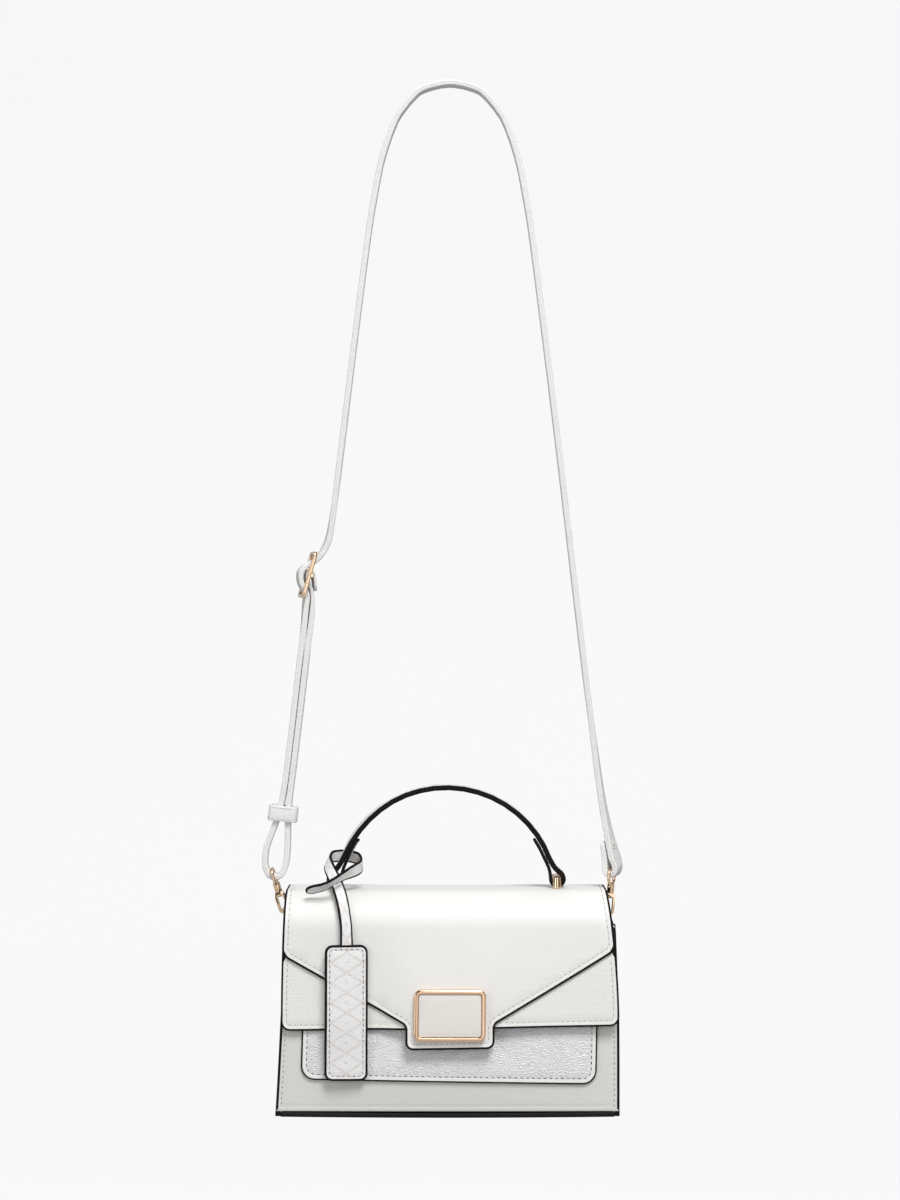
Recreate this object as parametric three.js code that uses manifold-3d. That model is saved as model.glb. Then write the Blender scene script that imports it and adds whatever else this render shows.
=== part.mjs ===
// Structured crossbody bag with a top handle, hanging from its shoulder strap.
// Millimetres, +Z up, the front faces -Y. The origin is the hanging point under the top of the strap.
// Heights (h) are measured up from the underside of the base, and the whole bag is then lowered.
import * as THREE from "three";
import { mergeVertices } from "three/addons/utils/BufferGeometryUtils.js";
import Module from "manifold-3d";

const wasm = await Module();
wasm.setup();

// Driving dimensions
const GAP = 0.3;
const BAG_WIDTH = 220;
const FOOT_FLARE = 1.5;
const SHOULDER_TAPER = 2.4;
const WAIST = 60;
const BASE_DEPTH = 84;
const WALL_LEAN = 0.06;
const PANEL_TOP = 126;
const PANEL_THICKNESS = 2;
const GUSSET_WALL_X = 101;
const GUSSET_THICKNESS = 1.8;
const GUSSET_TOP = 124;
const BASE_BAND_HEIGHT = 3.2;
const BASE_BAND_HALF = 108;
const POCKET_HALF = 95.8;
const POCKET_BOTTOM = 22.6;
const POCKET_TOP = 100;
const POCKET_THICKNESS = 1.5;
const FLAP_CREST = 145;
const FLAP_LOWER_THICKNESS = 1.6;
const FLAP_UPPER_THICKNESS = 1.5;
const FLAP_CLEARANCE = 2.6;
const FLAP_BOTTOM = 57.3;
const FLAP_BACK_END = 88;
const FLAP_FRONT_RADIUS = 22;
const FLAP_BACK_RADIUS = 12;
const FLAP_HALF_BOTTOM = 109.6;
const FLAP_HALF_TOP = 105;
const FLAP_SKEW = 2.4;
const VEE_SIDE = 106;
const VEE_FOOT = 59.5;
const TAB_HALF = 28.8;
const TAB_BOTTOM = 44.6;
const CLASP_WIDTH = 46.4;
const CLASP_HEIGHT = 33.4;
const CLASP_BORDER = 2.6;
const CLASP_CENTRE = 66.8;
const HANDLE_CENTRE_X = -2.5;
const HANDLE_CENTRE_Y = 2;
const HANDLE_WIDTH = 16;
const HANDLE_THICKNESS = 3.4;
const HANDLE_APEX = 211;
const HANDLE_RADIUS = 73;
const BRIDGE_X = 72.8;
const BRIDGE_HEIGHT = 150.8;
const BRIDGE_RADIUS = 2.2;
const POST_TOP_RADIUS = 2.4;
const POST_FOOT_RADIUS = 2.9;
const STRAP_WIDTH = 14;
const STRAP_THICKNESS = 3.8;
const STRAP_APEX = 675.5;
const KEEPER_HEIGHT = 10.2;
const WIRE_RADIUS = 1.1;
const HOOK_LENGTH = 27.2;
const HOOK_BARREL = 6.4;
const RING_REACH = 7.5;
const TAG_WIDTH = 27.9;
const TAG_HEIGHT = 87.5;
const TAG_THICKNESS = 3.2;
const TAG_STRAP_WIDTH = 8.4;
const TAG_STRAP_THICKNESS = 1.6;
const TAG_X = -67;
const TAG_YAW = 0.14;
const TAG_TOP = 111.6;
const HOOK_COLLAR = 11.6;
const GATE_PIN = { x: 2.5, z: 8.3, radius: 0.4 };
const BUCKLE = { x: -93.9, h: 351.3, tilt: 0.285, length: 31.6, width: 22 };

const HALF_DEPTH = BASE_DEPTH / 2;
const HANG_DROP = STRAP_APEX - STRAP_THICKNESS / 2;
const FLAP_INNER_TOP = FLAP_CREST - FLAP_UPPER_THICKNESS - GAP - FLAP_LOWER_THICKNESS;
const FLAP_UPPER_OFFSET = FLAP_LOWER_THICKNESS + GAP;
const FLAP_FACE = FLAP_CLEARANCE + FLAP_UPPER_OFFSET + FLAP_UPPER_THICKNESS;
const LEAN_ANGLE = Math.atan(WALL_LEAN);
const EYE_HALF = STRAP_WIDTH / 2 + WIRE_RADIUS + 0.9;

// Solids: join, cut and intersect
function solidOf(geometry) {
  const bare = geometry.index ? geometry.toNonIndexed() : geometry.clone();
  bare.deleteAttribute("normal");
  bare.deleteAttribute("uv");
  const merged = mergeVertices(bare, 1e-4);
  const mesh = new wasm.Mesh({
    numProp: 3,
    vertProperties: new Float32Array(merged.attributes.position.array),
    triVerts: new Uint32Array(merged.index.array),
  });
  return new wasm.Manifold(mesh);
}

function geometryOf(solid) {
  const mesh = solid.getMesh();
  const geometry = new THREE.BufferGeometry();
  geometry.setAttribute("position", new THREE.BufferAttribute(new Float32Array(mesh.vertProperties), 3));
  geometry.setIndex(new THREE.BufferAttribute(new Uint32Array(mesh.triVerts), 1));
  return geometry;
}

function join(...geometries) {
  return geometryOf(wasm.Manifold.union(geometries.map(solidOf)));
}

function cut(geometry, ...tools) {
  return geometryOf(wasm.Manifold.difference([geometry, ...tools].map(solidOf)));
}

function overlapOf(first, second) {
  return geometryOf(solidOf(first).intersect(solidOf(second)));
}

// Flat outlines
function outline(points) {
  return new THREE.Shape(points.map(([u, v]) => new THREE.Vector2(u, v)));
}

function mirroredPoints(rightSide) {
  const leftSide = rightSide.map(([u, v]) => [-u, v]).reverse();
  return [...rightSide, ...leftSide];
}

function mirroredOutline(rightSide) {
  return outline(mirroredPoints(rightSide));
}

function roundedBox(u0, v0, u1, v1, radius, segments = 5) {
  const corners = [
    { u: u1 - radius, v: v0 + radius, start: -Math.PI / 2 },
    { u: u1 - radius, v: v1 - radius, start: 0 },
    { u: u0 + radius, v: v1 - radius, start: Math.PI / 2 },
    { u: u0 + radius, v: v0 + radius, start: Math.PI },
  ];
  const points = [];
  for (const corner of corners) {
    for (let i = 0; i <= segments; i += 1) {
      const angle = corner.start + (Math.PI / 2) * (i / segments);
      points.push([corner.u + radius * Math.cos(angle), corner.v + radius * Math.sin(angle)]);
    }
  }
  return points;
}

// Extrusions of a flat outline along each axis
function alongX(shape, x0, x1) {
  const geometry = new THREE.ExtrudeGeometry(shape, { depth: x1 - x0, bevelEnabled: false });
  const turn = new THREE.Matrix4().set(0, 0, 1, x0, 1, 0, 0, 0, 0, 1, 0, 0, 0, 0, 0, 1);
  return geometry.applyMatrix4(turn);
}

function alongY(shape, y0, y1) {
  const geometry = new THREE.ExtrudeGeometry(shape, { depth: y1 - y0, bevelEnabled: false });
  return geometry.rotateX(Math.PI / 2).translate(0, y1, 0);
}

function alongZ(shape, z0, z1, steps = 1) {
  const geometry = new THREE.ExtrudeGeometry(shape, { depth: z1 - z0, steps, bevelEnabled: false });
  return geometry.translate(0, 0, z0);
}

function reshape(geometry, move) {
  const place = geometry.attributes.position;
  const point = new THREE.Vector3();
  for (let i = 0; i < place.count; i += 1) {
    point.fromBufferAttribute(place, i);
    move(point);
    place.setXYZ(i, point.x, point.y, point.z);
  }
  return geometry;
}

// Leans a plate drawn upright at the base's front or back edge onto the sloping wall.
function leanWall(geometry, side) {
  return reshape(geometry, (point) => {
    point.y -= side * WALL_LEAN * point.z;
  });
}

function rod(radius, length, sides = 12) {
  return new THREE.CylinderGeometry(radius, radius, length, sides);
}

// Strips of leather drawn edge-on: rows give the centre line and the thickness along it.
function thinOut(points, maxTurn, maxStep) {
  const kept = [points[0]];
  let turned = 0;
  for (let i = 1; i < points.length - 1; i += 1) {
    const before = points[i].clone().sub(points[i - 1]);
    const after = points[i + 1].clone().sub(points[i]);
    turned += Math.abs(Math.atan2(before.x * after.y - before.y * after.x, before.dot(after)));
    if (turned > maxTurn || points[i].distanceTo(kept[kept.length - 1]) > maxStep) {
      kept.push(points[i]);
      turned = 0;
    }
  }
  kept.push(points[points.length - 1]);
  return kept;
}

function smoothRows(rows, maxTurn = 0.2, maxStep = 45) {
  const curve = new THREE.CatmullRomCurve3(
    rows.map((row) => new THREE.Vector3(row.x, row.h, row.t)),
    false,
    "centripetal",
  );
  const fine = curve.getPoints(rows.length * 24);
  return thinOut(fine, maxTurn, maxStep);
}

function stripOutline(stations) {
  const left = [];
  const right = [];
  for (let i = 0; i < stations.length; i += 1) {
    const from = stations[Math.max(i - 1, 0)];
    const to = stations[Math.min(i + 1, stations.length - 1)];
    const run = Math.hypot(to.x - from.x, to.y - from.y);
    const half = stations[i].z / 2;
    const nx = (-(to.y - from.y) / run) * half;
    const ny = ((to.x - from.x) / run) * half;
    left.push([stations[i].x + nx, stations[i].y + ny]);
    right.push([stations[i].x - nx, stations[i].y - ny]);
  }
  return outline([...right, ...left.reverse()]);
}

function strip(rows, y0, y1, maxTurn) {
  return alongY(stripOutline(smoothRows(rows, maxTurn)), y0, y1);
}

// A path of stations, each with its own crosswise direction, for ribbons that twist and for wire.
class StationPath extends THREE.Curve {
  constructor(stations) {
    super();
    this.stations = stations;
  }

  getSpacedPoints() {
    return this.stations.map((station) => station.point.clone());
  }

  computeFrenetFrames() {
    const tangents = [];
    const normals = [];
    const binormals = [];
    const last = this.stations.length - 1;
    this.stations.forEach((station, i) => {
      const here = station.point;
      const arriving = here.clone().sub(this.stations[Math.max(i - 1, 0)].point).normalize();
      const leaving = this.stations[Math.min(i + 1, last)].point.clone().sub(here).normalize();
      const tangent = arriving.add(leaving).normalize();
      const across = station.across.clone();
      across.addScaledVector(tangent, -across.dot(tangent)).normalize();
      tangents.push(tangent);
      binormals.push(across);
      normals.push(across.clone().cross(tangent));
    });
    return { tangents, normals, binormals };
  }
}

function sweep(stations, section) {
  const extrudePath = new StationPath(stations);
  return new THREE.ExtrudeGeometry(section, { steps: stations.length - 1, extrudePath });
}

function roundSection(radius, sides = 6) {
  const points = [];
  for (let i = 0; i < sides; i += 1) {
    const angle = (2 * Math.PI * (i + 0.5)) / sides;
    points.push([radius * Math.cos(angle), radius * Math.sin(angle)]);
  }
  return outline(points);
}

// A closed loop of round wire lying in the plane across X, through its (y, z) points.
function wireLoop(points, radius) {
  const across = new THREE.Vector3(1, 0, 0);
  const stations = points.map(([y, z]) => ({ point: new THREE.Vector3(0, y, z), across }));
  const half = Math.floor(stations.length / 2);
  const before = stations[stations.length - 1];
  const first = [before, ...stations.slice(0, half + 2)];
  const second = [...stations.slice(half - 1), stations[0], stations[1]];
  return join(sweep(first, roundSection(radius)), sweep(second, roundSection(radius)));
}

const bag = new THREE.Group();
bag.name = "crossbody_bag";
bag.position.z = -HANG_DROP;

function add(name, geometry, finish) {
  const material = new THREE.MeshStandardMaterial({ ...finish, flatShading: true });
  const mesh = new THREE.Mesh(geometry, material);
  mesh.name = name;
  bag.add(mesh);
  return mesh;
}

const SMOOTH_LEATHER = { color: 0xe9e8e2, roughness: 0.5 };
const CROSS_GRAIN = { color: 0xebeae4, roughness: 0.55 };
const PEBBLED_LEATHER = { color: 0xd6d7de, roughness: 0.5 };
const DARK_EDGE = { color: 0x1c1b1c, roughness: 0.5 };
const GOLD = { color: 0xe0b89c, roughness: 0.2, metalness: 1 };
const ENAMEL = { color: 0xcfc6bb, roughness: 0.35 };

// Body: base, front and back panels, and the channel-shaped gussets between them
function basePanel() {
  const plate = 2;
  const round = 1.1;
  const reach = HALF_DEPTH + 1;
  const inner = HALF_DEPTH - 2.4;
  const section = outline([
    [-reach + round, 0],
    [reach - round, 0],
    [reach, round],
    [reach, BASE_BAND_HEIGHT - round],
    [reach - round, BASE_BAND_HEIGHT],
    [inner, BASE_BAND_HEIGHT],
    [inner, plate],
    [-inner, plate],
    [-inner, BASE_BAND_HEIGHT],
    [-reach + round, BASE_BAND_HEIGHT],
    [-reach, BASE_BAND_HEIGHT - round],
    [-reach, round],
  ]);
  return alongX(section, -BASE_BAND_HALF, BASE_BAND_HALF);
}

// Half the panels' width: full at the waist, flared at the foot and drawn in at the top.
function panelHalf(h) {
  const foot = Math.max(0, 1 - h / WAIST);
  const shoulder = Math.max(0, (h - WAIST) / (PANEL_TOP - WAIST));
  return BAG_WIDTH / 2 + FOOT_FLARE * foot - SHOULDER_TAPER * shoulder;
}

function wallPanel(side) {
  const notch = BASE_BAND_HALF + GAP;
  const lift = BASE_BAND_HEIGHT + GAP;
  const shape = mirroredOutline([
    [notch, lift],
    [notch, 0.4],
    [panelHalf(0.4), 0.4],
    [panelHalf(WAIST), WAIST],
    [panelHalf(PANEL_TOP - 6), PANEL_TOP - 6],
    [panelHalf(PANEL_TOP) - 4, PANEL_TOP],
  ]);
  const inner = HALF_DEPTH - PANEL_THICKNESS;
  const plate = side < 0 ? alongY(shape, -HALF_DEPTH, -inner) : alongY(shape, inner, HALF_DEPTH);
  return leanWall(plate, side);
}

// Channel in plan: a wall set in from the seams, with a flange turned out to each seam.
function gusset(side) {
  const seamX = BAG_WIDTH / 2;
  const flangeOut = HALF_DEPTH - PANEL_THICKNESS - GAP;
  const flangeIn = flangeOut - GUSSET_THICKNESS;
  const wallIn = GUSSET_WALL_X - GUSSET_THICKNESS;
  const bend = 2.6;
  const halfPlan = [
    [seamX, flangeOut],
    [wallIn + bend, flangeOut],
    [wallIn + 0.7, flangeOut - 0.7],
    [wallIn, flangeOut - bend],
  ];
  const back = [
    [wallIn + GUSSET_THICKNESS, flangeIn - 0.9],
    [wallIn + GUSSET_THICKNESS + 0.9, flangeIn],
    [seamX, flangeIn],
  ];
  const mirrored = (points) => points.map(([x, y]) => [x, -y]).reverse();
  const plan = [...halfPlan, ...mirrored(halfPlan), ...mirrored(back), ...back];
  const shape = outline(plan.map(([x, y]) => [side * x, y]));
  const channel = alongZ(shape, BASE_BAND_HEIGHT + GAP, GUSSET_TOP, 6);
  reshape(channel, (point) => {
    const share = THREE.MathUtils.clamp(point.y / flangeIn, -1, 1);
    point.y -= share * WALL_LEAN * point.z;
    if (Math.abs(point.x) > seamX - 0.1) point.x = side * panelHalf(point.z);
  });
  // The top edge dips in the middle, under the ring tab.
  const dip = outline([
    [-24, GUSSET_TOP + 1],
    [-18, GUSSET_TOP - 2.5],
    [18, GUSSET_TOP - 2.5],
    [24, GUSSET_TOP + 1],
  ]);
  return cut(channel, alongX(dip, -120, 120));
}

function pocket() {
  const shape = outline(roundedBox(-POCKET_HALF, POCKET_BOTTOM, POCKET_HALF, POCKET_TOP, 9));
  const back = -HALF_DEPTH - GAP;
  return leanWall(alongY(shape, back - POCKET_THICKNESS, back), -1);
}

// Flap: two layers bent over the top of the bag
function flapLine(offset, frontEnd, backEnd) {
  const arcSteps = 10;
  const points = [];
  const slant = Math.hypot(1, WALL_LEAN);
  const sides = [
    { sign: -1, reach: HALF_DEPTH + FLAP_CLEARANCE, radius: FLAP_FRONT_RADIUS, end: frontEnd },
    { sign: 1, reach: HALF_DEPTH + 0.5, radius: FLAP_BACK_RADIUS, end: backEnd },
  ];
  for (const side of sides) {
    const run = [];
    const centreH = FLAP_INNER_TOP - side.radius;
    const centreY = side.reach - WALL_LEAN * centreH - side.radius * slant;
    const endY = side.reach - WALL_LEAN * side.end + offset * Math.cos(LEAN_ANGLE);
    run.push([side.sign * endY, side.end]);
    for (let i = 0; i <= arcSteps; i += 1) {
      const angle = LEAN_ANGLE + (Math.PI / 2 - LEAN_ANGLE) * (i / arcSteps);
      const radius = side.radius + offset;
      const y = centreY + radius * Math.cos(angle);
      run.push([side.sign * y, centreH + radius * Math.sin(angle)]);
    }
    points.push(...(side.sign < 0 ? run : run.reverse()));
  }
  return points;
}

function flapSheet(offset, thickness, frontEnd, backEnd) {
  const inner = flapLine(offset, frontEnd, backEnd);
  const outer = flapLine(offset + thickness, frontEnd, backEnd);
  return alongX(outline([...inner, ...outer.reverse()]), -130, 130);
}

function flapHalf(h) {
  const rise = Math.max(0, (h - FLAP_BOTTOM) / (FLAP_CREST - FLAP_BOTTOM));
  return FLAP_HALF_BOTTOM - (FLAP_HALF_BOTTOM - FLAP_HALF_TOP) * rise * rise;
}

function flapSides(from) {
  const points = [];
  for (let i = 0; i <= 8; i += 1) {
    const h = from + (FLAP_CREST + 5 - from) * (i / 8);
    points.push([flapHalf(h), h]);
  }
  return points;
}

// The flap hangs a little askew: towards its crest it runs over to the left.
function flapOutline(rightSide) {
  const skew = ([x, h]) => {
    const rise = Math.max(0, (h - FLAP_BOTTOM) / (FLAP_CREST - FLAP_BOTTOM));
    return [x - FLAP_SKEW * rise * rise, h];
  };
  return outline(mirroredPoints(rightSide).map(skew));
}

function flapLower() {
  const corner = 6;
  const right = [];
  for (let i = 0; i <= 5; i += 1) {
    const angle = -Math.PI / 2 + (Math.PI / 2) * (i / 5);
    const x = FLAP_HALF_BOTTOM - corner + corner * Math.cos(angle);
    right.push([x, FLAP_BOTTOM + corner + corner * Math.sin(angle)]);
  }
  right.push(...flapSides(FLAP_BOTTOM + corner + 4));
  const sheet = flapSheet(0, FLAP_LOWER_THICKNESS, FLAP_BOTTOM - 2, FLAP_BACK_END);
  return overlapOf(sheet, alongY(flapOutline(right), -80, 80));
}

function flapUpper() {
  const corner = 5;
  const right = [];
  for (let i = 0; i <= 5; i += 1) {
    const angle = -Math.PI / 2 + (Math.PI / 2) * (i / 5);
    const x = TAB_HALF - corner + corner * Math.cos(angle);
    right.push([x, TAB_BOTTOM + corner + corner * Math.sin(angle)]);
  }
  right.push([TAB_HALF, VEE_FOOT - 1.6], [TAB_HALF + 0.7, VEE_FOOT], [TAB_HALF + 2.2, VEE_FOOT + 1.6]);
  right.push(...flapSides(VEE_SIDE));
  const front = alongY(flapOutline(right), -80, 0.5);
  const back = alongY(flapOutline(flapSides(FLAP_BACK_END - 10)), 0, 80);
  const sheet = flapSheet(FLAP_UPPER_OFFSET, FLAP_UPPER_THICKNESS, TAB_BOTTOM - 2, FLAP_BACK_END - 4);
  return overlapOf(sheet, join(front, back));
}

function claspFrame() {
  const w = CLASP_WIDTH / 2;
  const t = CLASP_HEIGHT / 2;
  const shape = outline(roundedBox(-w, CLASP_CENTRE - t, w, CLASP_CENTRE + t, 4.6, 6));
  const iw = w - CLASP_BORDER;
  const it = t - CLASP_BORDER;
  const hole = outline(roundedBox(-iw, CLASP_CENTRE - it, iw, CLASP_CENTRE + it, 2, 6));
  shape.holes.push(hole);
  const back = -HALF_DEPTH - FLAP_FACE - GAP;
  return leanWall(alongY(shape, back - 4.6, back), -1);
}

function claspPlate() {
  const w = CLASP_WIDTH / 2 - CLASP_BORDER - GAP;
  const t = CLASP_HEIGHT / 2 - CLASP_BORDER - GAP;
  const shape = outline(roundedBox(-w, CLASP_CENTRE - t, w, CLASP_CENTRE + t, 1.8, 6));
  const back = -HALF_DEPTH - FLAP_FACE - GAP;
  return leanWall(alongY(shape, back - 3.4, back), -1);
}

// Handle: an arch whose ends turn round the bridge bars and lie back against its inside.
// x is the distance out from the middle of the handle.
const HANDLE_END = [
  { x: 68.2, h: 163.8, t: 3.4 },
  { x: 71.6, h: 158.2, t: 3.4 },
  { x: 76.2, h: 153.8, t: 3.4 },
  { x: 77.1, h: 150.2, t: 3.4 },
  { x: 75.2, h: 147.2, t: 3.2 },
  { x: 72, h: 146.6, t: 2.6 },
  { x: 69.3, h: 148.7, t: 2.3 },
  { x: 68.8, h: 152.4, t: 2.2 },
  { x: 67.8, h: 157.6, t: 2.1 },
  { x: 64.9, h: 163.8, t: 2 },
  { x: 61.5, h: 171, t: 2 },
  { x: 57.9, h: 176.9, t: 2 },
];

function handle() {
  const reach = THREE.MathUtils.degToRad(61);
  const arch = [];
  for (let i = -6; i <= 6; i += 1) {
    const angle = (reach * i) / 6;
    const x = HANDLE_RADIUS * Math.sin(angle);
    const h = HANDLE_APEX - HANDLE_RADIUS * (1 - Math.cos(angle));
    arch.push({ x, h, t: HANDLE_THICKNESS });
  }
  const leftEnd = HANDLE_END.map((row) => ({ ...row, x: -row.x })).reverse();
  const rows = [...leftEnd, ...arch, ...HANDLE_END];
  const y0 = HANDLE_CENTRE_Y - HANDLE_WIDTH / 2;
  return strip(rows, y0, y0 + HANDLE_WIDTH, 0.12).translate(HANDLE_CENTRE_X, 0, 0);
}

// Bridge: a bar through the handle's end loop, on two tapered posts.
function handleBridge(side) {
  const x = HANDLE_CENTRE_X + side * BRIDGE_X;
  const spread = HANDLE_WIDTH / 2 + GAP + POST_FOOT_RADIUS;
  const foot = FLAP_CREST + GAP;
  const bar = rod(BRIDGE_RADIUS, 2 * spread).translate(x, HANDLE_CENTRE_Y, BRIDGE_HEIGHT);
  const pieces = [bar];
  for (const end of [-1, 1]) {
    const y = HANDLE_CENTRE_Y + end * spread;
    const top = BRIDGE_HEIGHT + BRIDGE_RADIUS;
    const post = new THREE.CylinderGeometry(POST_TOP_RADIUS, POST_FOOT_RADIUS, top - foot, 14);
    pieces.push(post.rotateX(Math.PI / 2).translate(x, y, (top + foot) / 2));
  }
  return join(...pieces);
}

// Charm: its strap rises from the tag, passes behind itself, goes round the foot of the handle
// and comes back across its own front to a loose tail. (ax, ay, az) points across the strap.
const TAG_STRAP = [
  { x: -66.9, y: -45.75, h: 104, ax: 1, ay: 0.14, az: 0 },
  { x: -66.9, y: -45.25, h: 112.4, ax: 1, ay: 0.15, az: 0 },
  { x: -67, y: -44.7, h: 118.5, ax: 0.93, ay: 0.36, az: 0.04 },
  { x: -67.4, y: -43.8, h: 125, ax: 0.9, ay: 0.43, az: 0.1 },
  { x: -69.5, y: -39.2, h: 137.4, ax: 0.8, ay: 0.5, az: 0.3 },
  { x: -72.6, y: -29.6, h: 147, ax: 0.82, ay: 0.45, az: 0.32 },
  { x: -76.4, y: -18, h: 153.6, ax: 0.7, ay: 0.2, az: 0.68 },
  { x: -79.6, y: -8, h: 159.2, ax: 0.6, ay: 0.05, az: 0.8 },
  { x: -80.4, y: 3, h: 162.6, ax: 0.45, ay: 0, az: 0.9 },
  { x: -77.4, y: 12.2, h: 164.4, ax: 0.2, ay: -0.1, az: 0.97 },
  { x: -69, y: 15.4, h: 164.6, ax: 0, ay: -0.1, az: 1 },
  { x: -61.4, y: 12.4, h: 163.2, ax: -0.05, ay: -0.1, az: 1 },
  { x: -58.6, y: 3.4, h: 161, ax: -0.05, ay: -0.05, az: 1 },
  { x: -58.8, y: -8, h: 159.2, ax: -0.1, ay: -0.3, az: 0.95 },
  { x: -62, y: -19.8, h: 157.8, ax: -0.3, ay: -0.55, az: 0.75 },
  { x: -68, y: -30.2, h: 155.8, ax: -0.3, ay: -0.85, az: 0.42 },
  { x: -75, y: -36, h: 152.2, ax: -0.2, ay: -0.87, az: 0.4 },
  { x: -82, y: -36.4, h: 148.4, ax: -0.05, ay: -0.78, az: 0.62 },
  { x: -88, y: -35.6, h: 146.9, ax: 0, ay: -0.75, az: 0.66 },
  { x: -93.6, y: -34, h: 144.8, ax: 0.1, ay: -0.8, az: 0.6 },
];

function tagStrap() {
  const along = new THREE.CatmullRomCurve3(
    TAG_STRAP.map((row) => new THREE.Vector3(row.x, row.y, row.h)),
    false,
    "centripetal",
  );
  const across = new THREE.CatmullRomCurve3(
    TAG_STRAP.map((row) => new THREE.Vector3(row.ax, row.ay, row.az)),
    false,
    "centripetal",
  );
  const count = (TAG_STRAP.length - 1) * 4;
  const stations = [];
  for (let i = 0; i <= count; i += 1) {
    stations.push({ point: along.getPoint(i / count), across: across.getPoint(i / count) });
  }
  const t = TAG_STRAP_THICKNESS / 2;
  const w = TAG_STRAP_WIDTH / 2;
  const section = outline([
    [-t, -w],
    [t, -w],
    [t, w],
    [-t, w],
  ]);
  return sweep(stations, section);
}

function tag() {
  const bottom = TAG_TOP - TAG_HEIGHT;
  const w = TAG_WIDTH / 2;
  const shape = outline(roundedBox(TAG_X - w, bottom, TAG_X + w, TAG_TOP, 5));
  const back = -HALF_DEPTH - FLAP_FACE - 2.4;
  const mid = back - TAG_THICKNESS / 2;
  const plate = alongY(shape, back - TAG_THICKNESS, back);
  // The strap's end is held between the tag's two layers.
  const w2 = TAG_STRAP_WIDTH / 2 + 0.7;
  const slot = outline([
    [TAG_X - w2, TAG_TOP - 9],
    [TAG_X + w2, TAG_TOP - 9],
    [TAG_X + w2, TAG_TOP + 4],
    [TAG_X - w2, TAG_TOP + 4],
  ]);
  const flat = cut(plate, alongY(slot, mid - 1.15, mid + 1.15));
  const yawed = flat.translate(-TAG_X, -mid, 0).rotateZ(TAG_YAW).translate(TAG_X, mid, 0);
  return leanWall(yawed, -1);
}

// Shoulder strap, edge-on, from the end riveted on the right, over the top, through the buckle,
// down through the keeper, round the left hook and back up to the buckle's middle bar.
const STRAP_RIGHT_END = [
  { x: 101.3, h: 174.6, t: 2.2 },
  { x: 102.7, h: 168.8, t: 2.5 },
  { x: 103.6, h: 162.8, t: 2.9 },
  { x: 103.3, h: 157.8, t: 3.4 },
  { x: 104.3, h: 154.7, t: 3.8 },
  { x: 106.9, h: 153.5, t: 3.8 },
  { x: 109.6, h: 154.9, t: 3.8 },
  { x: 110.6, h: 158.3, t: 3.8 },
  { x: 109, h: 164.4, t: 3.8 },
  { x: 106.6, h: 172.6, t: 3.8 },
  { x: 103.5, h: 186, t: 3.8 },
  { x: 100.3, h: 202.5, t: 3.8 },
  { x: 92.2, h: 262, t: 3.8 },
  { x: 85, h: 321, t: 3.8 },
];
const STRAP_ARCH = [
  { x: 72.6, h: 427 },
  { x: 61.2, h: 519.3 },
  { x: 52.5, h: 585 },
  { x: 49, h: 605 },
  { x: 45, h: 625 },
  { x: 35.8, h: 651.3 },
  { x: 30.8, h: 659 },
  { x: 24, h: 667 },
  { x: 18.6, h: 671.2 },
];
const STRAP_BUCKLE_AND_LEFT = [
  { x: -77.8, h: 387.3, t: 3.8 },
  { x: -80.2, h: 374.5, t: 3.6 },
  { x: -83.4, h: 367.3, t: 3.4 },
  { x: -86.8, h: 362.6, t: 3.3 },
  { x: -91.5, h: 358.9, t: 3.3 },
  { x: -96.2, h: 356.4, t: 3.3 },
  { x: -98.9, h: 353, t: 3.3 },
  { x: -99.2, h: 349, t: 3.3 },
  { x: -98.5, h: 345.5, t: 3.3 },
  { x: -96.7, h: 342, t: 3.3 },
  { x: -95.1, h: 338.6, t: 3.3 },
  { x: -94.9, h: 335, t: 3.3 },
  { x: -95.5, h: 330, t: 3.5 },
  { x: -96.3, h: 319, t: 3.8 },
  { x: -99.4, h: 291.6, t: 3.8 },
  { x: -104, h: 252, t: 3.8 },
  { x: -108.9, h: 212.4, t: 3.8 },
  { x: -110.6, h: 203, t: 3.8 },
  { x: -113.4, h: 191.5, t: 3.8 },
  { x: -117.4, h: 181.2, t: 3.8 },
  { x: -120.6, h: 172.6, t: 3.8 },
  { x: -121.9, h: 164.8, t: 3.8 },
  { x: -121.4, h: 158.2, t: 3.8 },
  { x: -118.8, h: 153.4, t: 3.8 },
  { x: -114.9, h: 152, t: 3.8 },
  { x: -111, h: 153.8, t: 3.8 },
  { x: -108.7, h: 158.9, t: 3.8 },
  { x: -107.5, h: 165, t: 3.8 },
  { x: -107, h: 173, t: 3.8 },
  { x: -106.9, h: 181, t: 3.8 },
  { x: -106.8, h: 192, t: 3.8 },
  { x: -105.9, h: 203, t: 3.8 },
  { x: -104.7, h: 212.4, t: 3.8 },
  { x: -99.8, h: 252, t: 3.8 },
  { x: -95.2, h: 291.6, t: 3.8 },
  { x: -92, h: 319, t: 3.7 },
  { x: -91.3, h: 329, t: 3.2 },
  { x: -91.2, h: 334.5, t: 2.8 },
  { x: -91.7, h: 339.5, t: 2.4 },
  { x: -93, h: 344, t: 2 },
  { x: -94.5, h: 347.8, t: 1.8 },
  { x: -94.9, h: 350.8, t: 1.8 },
  { x: -94.2, h: 352.6, t: 1.8 },
  { x: -92.6, h: 353.3, t: 1.8 },
  { x: -91, h: 352.6, t: 1.8 },
  { x: -90.3, h: 350.8, t: 1.8 },
  { x: -89.6, h: 346, t: 1.8 },
  { x: -88.8, h: 340, t: 1.8 },
  { x: -88.4, h: 334, t: 1.8 },
];

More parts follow.
